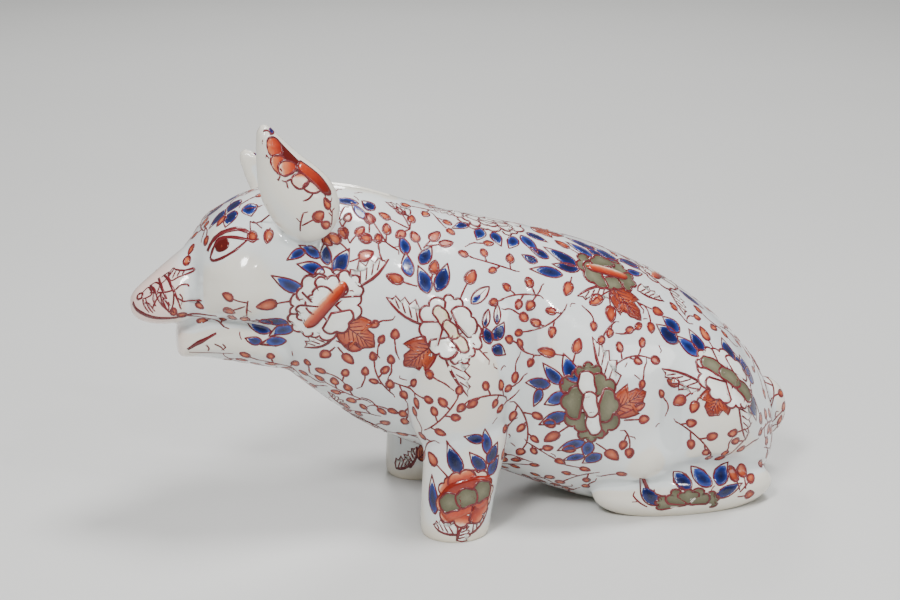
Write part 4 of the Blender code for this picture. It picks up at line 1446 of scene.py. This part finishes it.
def paint_pig(ground: Ground) -> dict[Pigment, bpy.types.Object]:
    """Paints everything on the glaze.

    Args:
        ground: the skin to paint.

    Returns:
        The film of each pigment.
    """
    painter = Painter(ground)
    for hand in (1, -1):
        Face().paint(painter, hand)
        ear = EarPainting() if hand > 0 else EarPainting((-64, -46, 131), 22.0)
        ear.paint(painter, hand)
        for plan in SPRAYS[hand]:
            painter.spray(plan, hand)
        for x, y, z, radius in BLANKS:
            painter.take(ground.spot(x, y, z, hand).place, radius)
    # The coin slot and its rim stay unpainted
    for step in range(-3, 4):
        painter.take(Vector((-47.5 + 4.5 * step, 0.0, 137.0 - 0.4 * step)) * MM, 4.0)
    painter.fill_gaps()
    return {pigment: brush.finish() for pigment, brush in painter.brushes.items()}


# ----------------------------------------------------------------------------------------------------------
# Finishes
# ----------------------------------------------------------------------------------------------------------


def linear(code: str) -> tuple[float, float, float, float]:
    """Turns an sRGB hex colour into the linear colour that a shader takes."""
    values = [int(code[i : i + 2], 16) / 255.0 for i in (1, 3, 5)]
    return (*(v / 12.92 if v <= 0.04045 else ((v + 0.055) / 1.055) ** 2.4 for v in values), 1.0)


class Recipe:
    """A material's node tree while it is put together."""

    def __init__(self, name: str) -> None:
        """Starts a material with its Principled shader."""
        self.material = bpy.data.materials.new(name)
        self.material.use_nodes = True
        self.tree = self.material.node_tree
        self.shader = self.tree.nodes["Principled BSDF"]
        self.place = self.add("ShaderNodeTexCoord").outputs["Object"]

    def add(self, kind: str, settings: dict | None = None, links: dict | None = None) -> bpy.types.Node:
        """Adds a node.

        Args:
            kind: the node's type.
            settings: values of its properties or of its input sockets.
            links: the output socket that feeds each named or numbered input.

        Returns:
            The node.
        """
        node = self.tree.nodes.new(kind)
        for key, value in (settings or {}).items():
            if isinstance(key, str) and hasattr(node, key):
                setattr(node, key, value)
            else:
                node.inputs[key].default_value = value
        for key, source in (links or {}).items():
            self.tree.links.new(source, node.inputs[key])
        return node

    def ramp(self, source: bpy.types.NodeSocket, stops: Sequence[tuple[float, str]]) -> bpy.types.NodeSocket:
        """Colours a value by a ramp of (position, sRGB hex) stops."""
        node = self.add("ShaderNodeValToRGB", links={0: source})
        ramp = node.color_ramp
        while len(ramp.elements) < len(stops):
            ramp.elements.new(0.5)
        for element, (position, code) in zip(ramp.elements, stops):
            element.position = position
            element.color = linear(code)
        return node.outputs["Color"]

    def noise(self, size_mm: float, detail: float = 3.0, rough: float = 0.55) -> bpy.types.NodeSocket:
        """Makes a cloudy value whose patches are about that many millimetres across."""
        settings = {"Scale": 1000.0 / size_mm, "Detail": detail, "Roughness": rough}
        return self.add("ShaderNodeTexNoise", settings, {"Vector": self.place}).outputs["Fac"]

    def mix(
        self, share: bpy.types.NodeSocket | float, first: bpy.types.NodeSocket | str,
        second: bpy.types.NodeSocket | str, mode: str = "MIX",
    ) -> bpy.types.NodeSocket:
        """Mixes two colours, each a socket or an sRGB hex."""
        node = self.add("ShaderNodeMix", {"data_type": "RGBA", "blend_type": mode})
        for index, value in ((0, share), (6, first), (7, second)):
            if isinstance(value, str):
                node.inputs[index].default_value = linear(value)
            elif isinstance(value, (int, float)):
                node.inputs[index].default_value = value
            else:
                self.tree.links.new(value, node.inputs[index])
        return node.outputs[2]

    def math(self, operation: str, *values: bpy.types.NodeSocket | float) -> bpy.types.NodeSocket:
        """Does arithmetic on values, each a socket or a number."""
        node = self.add("ShaderNodeMath", {"operation": operation})
        for index, value in enumerate(values):
            if isinstance(value, (int, float)):
                node.inputs[index].default_value = value
            else:
                self.tree.links.new(value, node.inputs[index])
        return node.outputs[0]

    def span(self, value: bpy.types.NodeSocket, low: float, high: float) -> bpy.types.NodeSocket:
        """Maps a value's span to 0 to 1, smoothly and clamped."""
        settings = {"interpolation_type": "SMOOTHSTEP", "From Min": low, "From Max": high}
        return self.add("ShaderNodeMapRange", settings, {"Value": value}).outputs["Result"]

    def bump(self, height: bpy.types.NodeSocket, depth_mm: float) -> None:
        """Gives the shader a bump of that depth."""
        node = self.add("ShaderNodeBump", {"Strength": 1.0, "Distance": depth_mm * MM}, {"Height": height})
        self.tree.links.new(node.outputs["Normal"], self.shader.inputs["Normal"])

    def attribute(self, name: str) -> bpy.types.NodeSocket:
        """Reads a value stored on the mesh."""
        return self.add("ShaderNodeAttribute", {"attribute_name": name}).outputs["Fac"]

    def set(self, **values: float) -> None:
        """Sets plain numbers on the shader, named with underscores for spaces."""
        for name, value in values.items():
            self.shader.inputs[name.replace("_", " ")].default_value = value

    def colour(self, socket: bpy.types.NodeSocket) -> None:
        """Feeds the shader's base colour."""
        self.tree.links.new(socket, self.shader.inputs["Base Color"])

    def roughness(self, socket: bpy.types.NodeSocket) -> None:
        """Feeds the shader's roughness."""
        self.tree.links.new(socket, self.shader.inputs["Roughness"])


@dataclass(frozen=True)
class Porcelain:
    """Hard porcelain under a clear gloss glaze, bluish where it pools and ivory where it runs thin."""

    body: str = "#d9dfe0"
    clouded: str = "#e0e4e3"
    pooled: str = "#d2d7d7"
    thin: str = "#e4dccb"
    snout: str = "#e8cfc5"
    dusty: str = "#d8cbb0"
    speck: str = "#5b4636"
    speck_mm: float = 16.0

    def make(self) -> bpy.types.Material:
        """Builds the material."""
        # A wet, faintly rippled gloss over a cool white that turns cream on edges and at the soles
        r = Recipe("gloss_glazed_porcelain")
        pooling = r.attribute("pooling")
        clouds = r.noise(38.0, 2.0)
        base = r.mix(r.span(clouds, 0.35, 0.65), self.body, self.clouded)
        base = r.mix(r.span(pooling, 0.52, 0.72), base, self.pooled)
        base = r.mix(r.math("MULTIPLY", r.span(pooling, 0.36, 0.16), 0.7), base, self.thin)
        place = r.add("ShaderNodeSeparateXYZ", links={0: r.place})
        fore = r.span(r.math("ADD", place.outputs["X"], r.math("MULTIPLY", clouds, 0.012)), -0.108, -0.122)
        base = r.mix(fore, base, self.snout)
        low = r.span(r.math("ADD", place.outputs["Z"], r.math("MULTIPLY", clouds, 0.006)), 0.010, 0.001)
        base = r.mix(r.math("MULTIPLY", low, 0.7), base, self.dusty)
        specks = r.add(
            "ShaderNodeTexVoronoi", {"Scale": 1000.0 / self.speck_mm, "Randomness": 1.0}, {"Vector": r.place}
        ).outputs["Distance"]
        dots = r.math("MULTIPLY", r.span(specks, 0.028, 0.016), r.span(r.noise(60.0, 1.0), 0.48, 0.56))
        base = r.mix(r.math("MULTIPLY", dots, 0.75), base, self.speck)
        r.colour(base)
        r.set(IOR=1.5, Coat_Weight=0.35, Coat_Roughness=0.03, Subsurface_Weight=0.12, Subsurface_Scale=0.002)
        r.shader.inputs["Subsurface Radius"].default_value = (1.0, 0.9, 0.8)
        r.roughness(r.math("ADD", 0.07, r.math("MULTIPLY", r.noise(9.0, 4.0), 0.07)))
        swell, pitting = r.noise(11.0, 2.0), r.noise(1.4, 2.0)
        r.bump(r.math("ADD", r.math("MULTIPLY", swell, 0.8), r.math("MULTIPLY", pitting, 0.06)), 0.22)
        return r.material


@dataclass(frozen=True)
class Enamel:
    """A film of fired pigment. Its colours run from the rim of a stroke to its middle."""

    name: str
    stops: tuple[tuple[float, str], ...]
    worn: str
    streak_mm: float = 1.6
    rough: float = 0.16
    metal: float = 0.0
    mottle: float = 0.5

    def make(self) -> bpy.types.Material:
        """Builds the material."""
        r = Recipe(self.name)
        tone = r.attribute("tone")
        load = r.attribute("load")
        streaks = r.noise(self.streak_mm, 3.0, 0.6)
        level = r.math("ADD", tone, r.math("MULTIPLY", r.math("SUBTRACT", streaks, 0.5), self.mottle))
        level = r.math("ADD", level, r.math("MULTIPLY", r.math("SUBTRACT", load, 0.5), 0.5))
        colour = r.ramp(level, self.stops)
        wear = r.span(r.noise(5.0, 4.0, 0.7), 0.62, 0.74)
        colour = r.mix(r.math("MULTIPLY", wear, 0.55), colour, self.worn)
        r.colour(colour)
        r.set(IOR=1.5, Coat_Weight=0.25, Coat_Roughness=0.05, Metallic=self.metal)
        r.roughness(r.math("ADD", self.rough, r.math("MULTIPLY", streaks, 0.14)))
        r.bump(r.noise(0.9, 2.0), 0.03)
        return r.material


# Each pigment as it comes out of the kiln, and what it gives the eye
FINISHES = {
    # Opaque and a little warmer than the glaze, so that the petals stand off the body
    Pigment.WHITE: Enamel(
        "white_overglaze_enamel", ((0.0, "#dfe0d8"), (1.0, "#eef0ec")), "#d5d3c6", mottle=0.3
    ),
    # Thin yellow, pink and green in uneven patches, as if rubbed almost away
    Pigment.BLUSH: Enamel(
        "faded_yellow_and_pink_enamel",
        ((0.0, "#b9b48a"), (0.35, "#d9d2ae"), (0.6, "#e2c9bd"), (1.0, "#c9cfa8")),
        "#e0ddd0", streak_mm=3.0, rough=0.22, mottle=1.2,
    ),
    # Nearly black where it pooled in the middle and violet blue at the rim, with the wettest gloss of all
    Pigment.BLUE: Enamel(
        "cobalt_blue_under_glaze",
        ((0.0, "#2a4090"), (0.25, "#14266c"), (0.55, "#0a144c"), (1.0, "#060b34")),
        "#3a54a0", streak_mm=2.2, rough=0.10, mottle=0.6,
    ),
    # Brick red at the rim and pale orange in the middle, where the brush was lifted
    Pigment.ORANGE: Enamel(
        "orange_iron_wash",
        ((0.0, "#862f1a"), (0.3, "#a14224"), (0.65, "#b75836"), (1.0, "#c67249")),
        "#cf8f66", streak_mm=1.8, mottle=0.6,
    ),
    # One stroke that fades from deep oxblood through orange to almost nothing
    Pigment.WASH: Enamel(
        "iron_red_wash_shaded",
        ((0.0, "#560b06"), (0.3, "#7d180a"), (0.6, "#ad3a1c"), (0.85, "#c9714a"), (1.0, "#dcc4b0")),
        "#b0553a", streak_mm=2.5, rough=0.12, mottle=0.25,
    ),
    # Gilding gone dull: greenish grey, finely streaked, with only a faint metal sheen
    Pigment.OLIVE: Enamel(
        "tarnished_olive_gilding",
        ((0.0, "#54523a"), (0.5, "#65634c"), (1.0, "#77745c")),
        "#8a866c", streak_mm=0.8, rough=0.34, metal=0.15, mottle=0.7,
    ),
    # Dark, slightly raised lines that hold every flower together
    Pigment.RED: Enamel(
        "iron_red_outline", ((0.0, "#5c1017"), (1.0, "#701820")), "#8a2c26", streak_mm=1.2, rough=0.18
    ),
    # The same red thinned for stalks and berries, a little lighter and browner
    Pigment.VINE: Enamel(
        "iron_red_vine_line", ((0.0, "#641318"), (1.0, "#7a1d20")), "#94352b", streak_mm=1.2, rough=0.18
    ),
}


@dataclass(frozen=True)
class Biscuit:
    """Porcelain fired without glaze: dry, creamy and a little gritty."""

    def make(self) -> bpy.types.Material:
        """Builds the material."""
        # Dry and creamy with dark grit, so that the slab looks bare next to the glaze
        r = Recipe("unglazed_biscuit_porcelain")
        colour = r.ramp(r.noise(6.0, 5.0, 0.65), ((0.3, "#cbbfa4"), (0.5, "#d9d0bb"), (0.7, "#e2dccb")))
        grit = r.noise(0.5, 2.0)
        r.colour(r.mix(r.span(grit, 0.64, 0.72), colour, "#9b8763"))
        r.set(IOR=1.5, Roughness=0.8)
        r.bump(grit, 0.08)
        return r.material


@dataclass(frozen=True)
class Cork:
    """Natural cork, turned and rubbed: cells about a millimetre across and dark pores."""

    cell_mm: float = 1.3

    def make(self) -> bpy.types.Material:
        """Builds the material."""
        # Warm brown with pale cells and deep dark pores, quite without gloss
        r = Recipe("turned_natural_cork")
        scale = {"Scale": 1000.0 / self.cell_mm}
        cells = r.add("ShaderNodeTexVoronoi", scale, {"Vector": r.place}).outputs["Distance"]
        colour = r.ramp(r.noise(3.0, 5.0, 0.6), ((0.3, "#a57a4b"), (0.5, "#bd935f"), (0.7, "#cda878")))
        pores = r.span(r.noise(2.1, 3.0, 0.7), 0.60, 0.68)
        colour = r.mix(r.math("MULTIPLY", pores, 0.8), colour, "#5f3f22")
        r.colour(r.mix(0.25, colour, r.ramp(cells, ((0.0, "#d3b183"), (0.8, "#8d6438")))))
        r.set(IOR=1.4, Roughness=0.82)
        r.bump(r.math("SUBTRACT", cells, r.math("MULTIPLY", pores, 1.5)), 0.15)
        return r.material


# ----------------------------------------------------------------------------------------------------------
# The cork, the base slab and the studio
# ----------------------------------------------------------------------------------------------------------


@dataclass
class Studio:
    """A pale floor, soft lamps and the camera."""

    aim: tuple[float, float, float] = (-0.00874, 0.0, 0.08655)
    distance: float = 0.8996
    azimuth: float = -12.5
    elevation: float = 16.0
    roll: float = 0.6
    lens: float = 87.48
    sensor: float = 36.0
    room_light: float = 0.36
    # Each lamp's name, place and size in metres, and its power in watts
    lights: tuple = (
        ("key", (-0.7, -1.0, 1.3), 0.40, 22.0),
        ("top", (0.4, -0.1, 1.6), 0.55, 22.0),
        ("fill", (1.3, -1.1, 0.7), 0.7, 6.0),
        ("rim", (0.2, 1.4, 1.0), 0.5, 9.0),
        ("spot left", (-0.15, -1.1, 0.9), 0.07, 2.2),
        ("spot right", (0.45, -1.0, 1.1), 0.07, 2.2),
    )

    def build(self) -> None:
        """Builds the floor, the lamps and the camera."""
        self.floor()
        self.lamps()
        self.camera()

    def floor(self) -> None:
        """Lays a pale floor."""
        bm = bmesh.new()
        bmesh.ops.create_grid(bm, x_segments=2, y_segments=2, size=3.0)
        floor = new_piece("studio_floor", bm)
        # An even, quiet grey that shows the soft shadow and nothing else
        r = Recipe("pale_matt_floor")
        r.colour(r.mix(r.noise(300.0, 2.0), "#cfcfcd", "#d6d6d4"))
        r.set(Roughness=0.55)
        floor.data.materials.append(r.material)

    def lamps(self) -> None:
        """Hangs the soft lamps and fills the room with even light."""
        for name, place, size, watts in self.lights:
            light = bpy.data.lights.new(name, "AREA")
            light.shape = "DISK"
            light.size = size
            light.energy = watts
            lamp = bpy.data.objects.new(name, light)
            bpy.context.scene.collection.objects.link(lamp)
            lamp.location = place
            aim = Vector((0.0, 0.0, 0.06)) - Vector(place)
            lamp.rotation_euler = aim.to_track_quat("-Z", "Y").to_euler()
        world = bpy.data.worlds.new("studio")
        bpy.context.scene.world = world
        world.use_nodes = True
        background = world.node_tree.nodes["Background"]
        background.inputs["Color"].default_value = linear("#e2e2e0")
        background.inputs["Strength"].default_value = self.room_light

    def camera(self) -> None:
        """Sets up the camera."""
        around, up, tilt = (math.radians(a) for a in (self.azimuth, self.elevation, self.roll))
        away = Vector((math.sin(around) * math.cos(up), -math.cos(around) * math.cos(up), math.sin(up)))
        data = bpy.data.cameras.new("camera")
        data.lens = self.lens
        data.sensor_width = self.sensor
        camera = bpy.data.objects.new("camera", data)
        bpy.context.scene.collection.objects.link(camera)
        turn = (-away).to_track_quat("-Z", "Y").to_matrix().to_4x4() @ Matrix.Rotation(-tilt, 4, "Z")
        camera.matrix_world = Matrix.Translation(Vector(self.aim) + away * self.distance) @ turn
        bpy.context.scene.camera = camera


def cork_piece() -> bpy.types.Object:
    """Turns the cork from the box of its CAD node and returns it."""
    low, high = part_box("cork_stopper")
    radius = (high.x - low.x) / 2
    height = high.z - low.z
    bm = bmesh.new()
    bmesh.ops.create_cone(
        bm, cap_ends=True, segments=72, radius1=radius, radius2=radius - 0.04 * height, depth=height
    )
    rims = [edge for edge in bm.edges if len(edge.link_faces) == 2 and edge.calc_face_angle(0) > 1.0]
    worn = 0.9 * MM
    bmesh.ops.bevel(bm, geom=rims, offset=worn, segments=3, profile=0.5, affect="EDGES", material=-1)
    bm.transform(Matrix.Translation((low + high) / 2))
    cork = new_piece("cork_bung", bm)
    cork.data.shade_smooth()
    cork.data.set_sharp_from_angle(angle=math.radians(50))
    return cork


def dress(piece: bpy.types.Object, material: bpy.types.Material) -> None:
    """Gives a piece one material."""
    piece.data.materials.clear()
    piece.data.materials.append(material)


def build() -> None:
    """Builds the pig's pieces in order and logs the face counts of the glazed body and of each film."""
    logging.basicConfig(level=logging.INFO, format="%(name)s: %(message)s")
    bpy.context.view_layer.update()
    clay = Clay()
    skin = clay.build()
    ground = Ground(skin)
    films = paint_pig(ground)
    clay.open_up(skin)
    clay.measure_hollows(skin)
    skin.data.shade_smooth()
    dress(skin, Porcelain().make())
    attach(skin, "pig")
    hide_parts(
        "body_left_half", "body_right_half", "left_ear", "right_ear", "left_foreleg", "right_foreleg", "tail"
    )
    for pigment, film in films.items():
        dress(film, FINISHES[pigment].make())
        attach(film, "pig")
        LOG.info("%s: %d faces", film.name, len(film.data.polygons))
    cork = cork_piece()
    dress(cork, Cork().make())
    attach(cork, "stopper")
    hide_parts("cork_stopper")
    slab = frame["nodes"]["base_slab"]
    dress(slab, Biscuit().make())
    LOG.info("glazed body: %d faces", len(skin.data.polygons))
    Studio().build()


def main() -> None:
    """Builds the scene."""
    build()


if __name__ == "__main__":
    main()
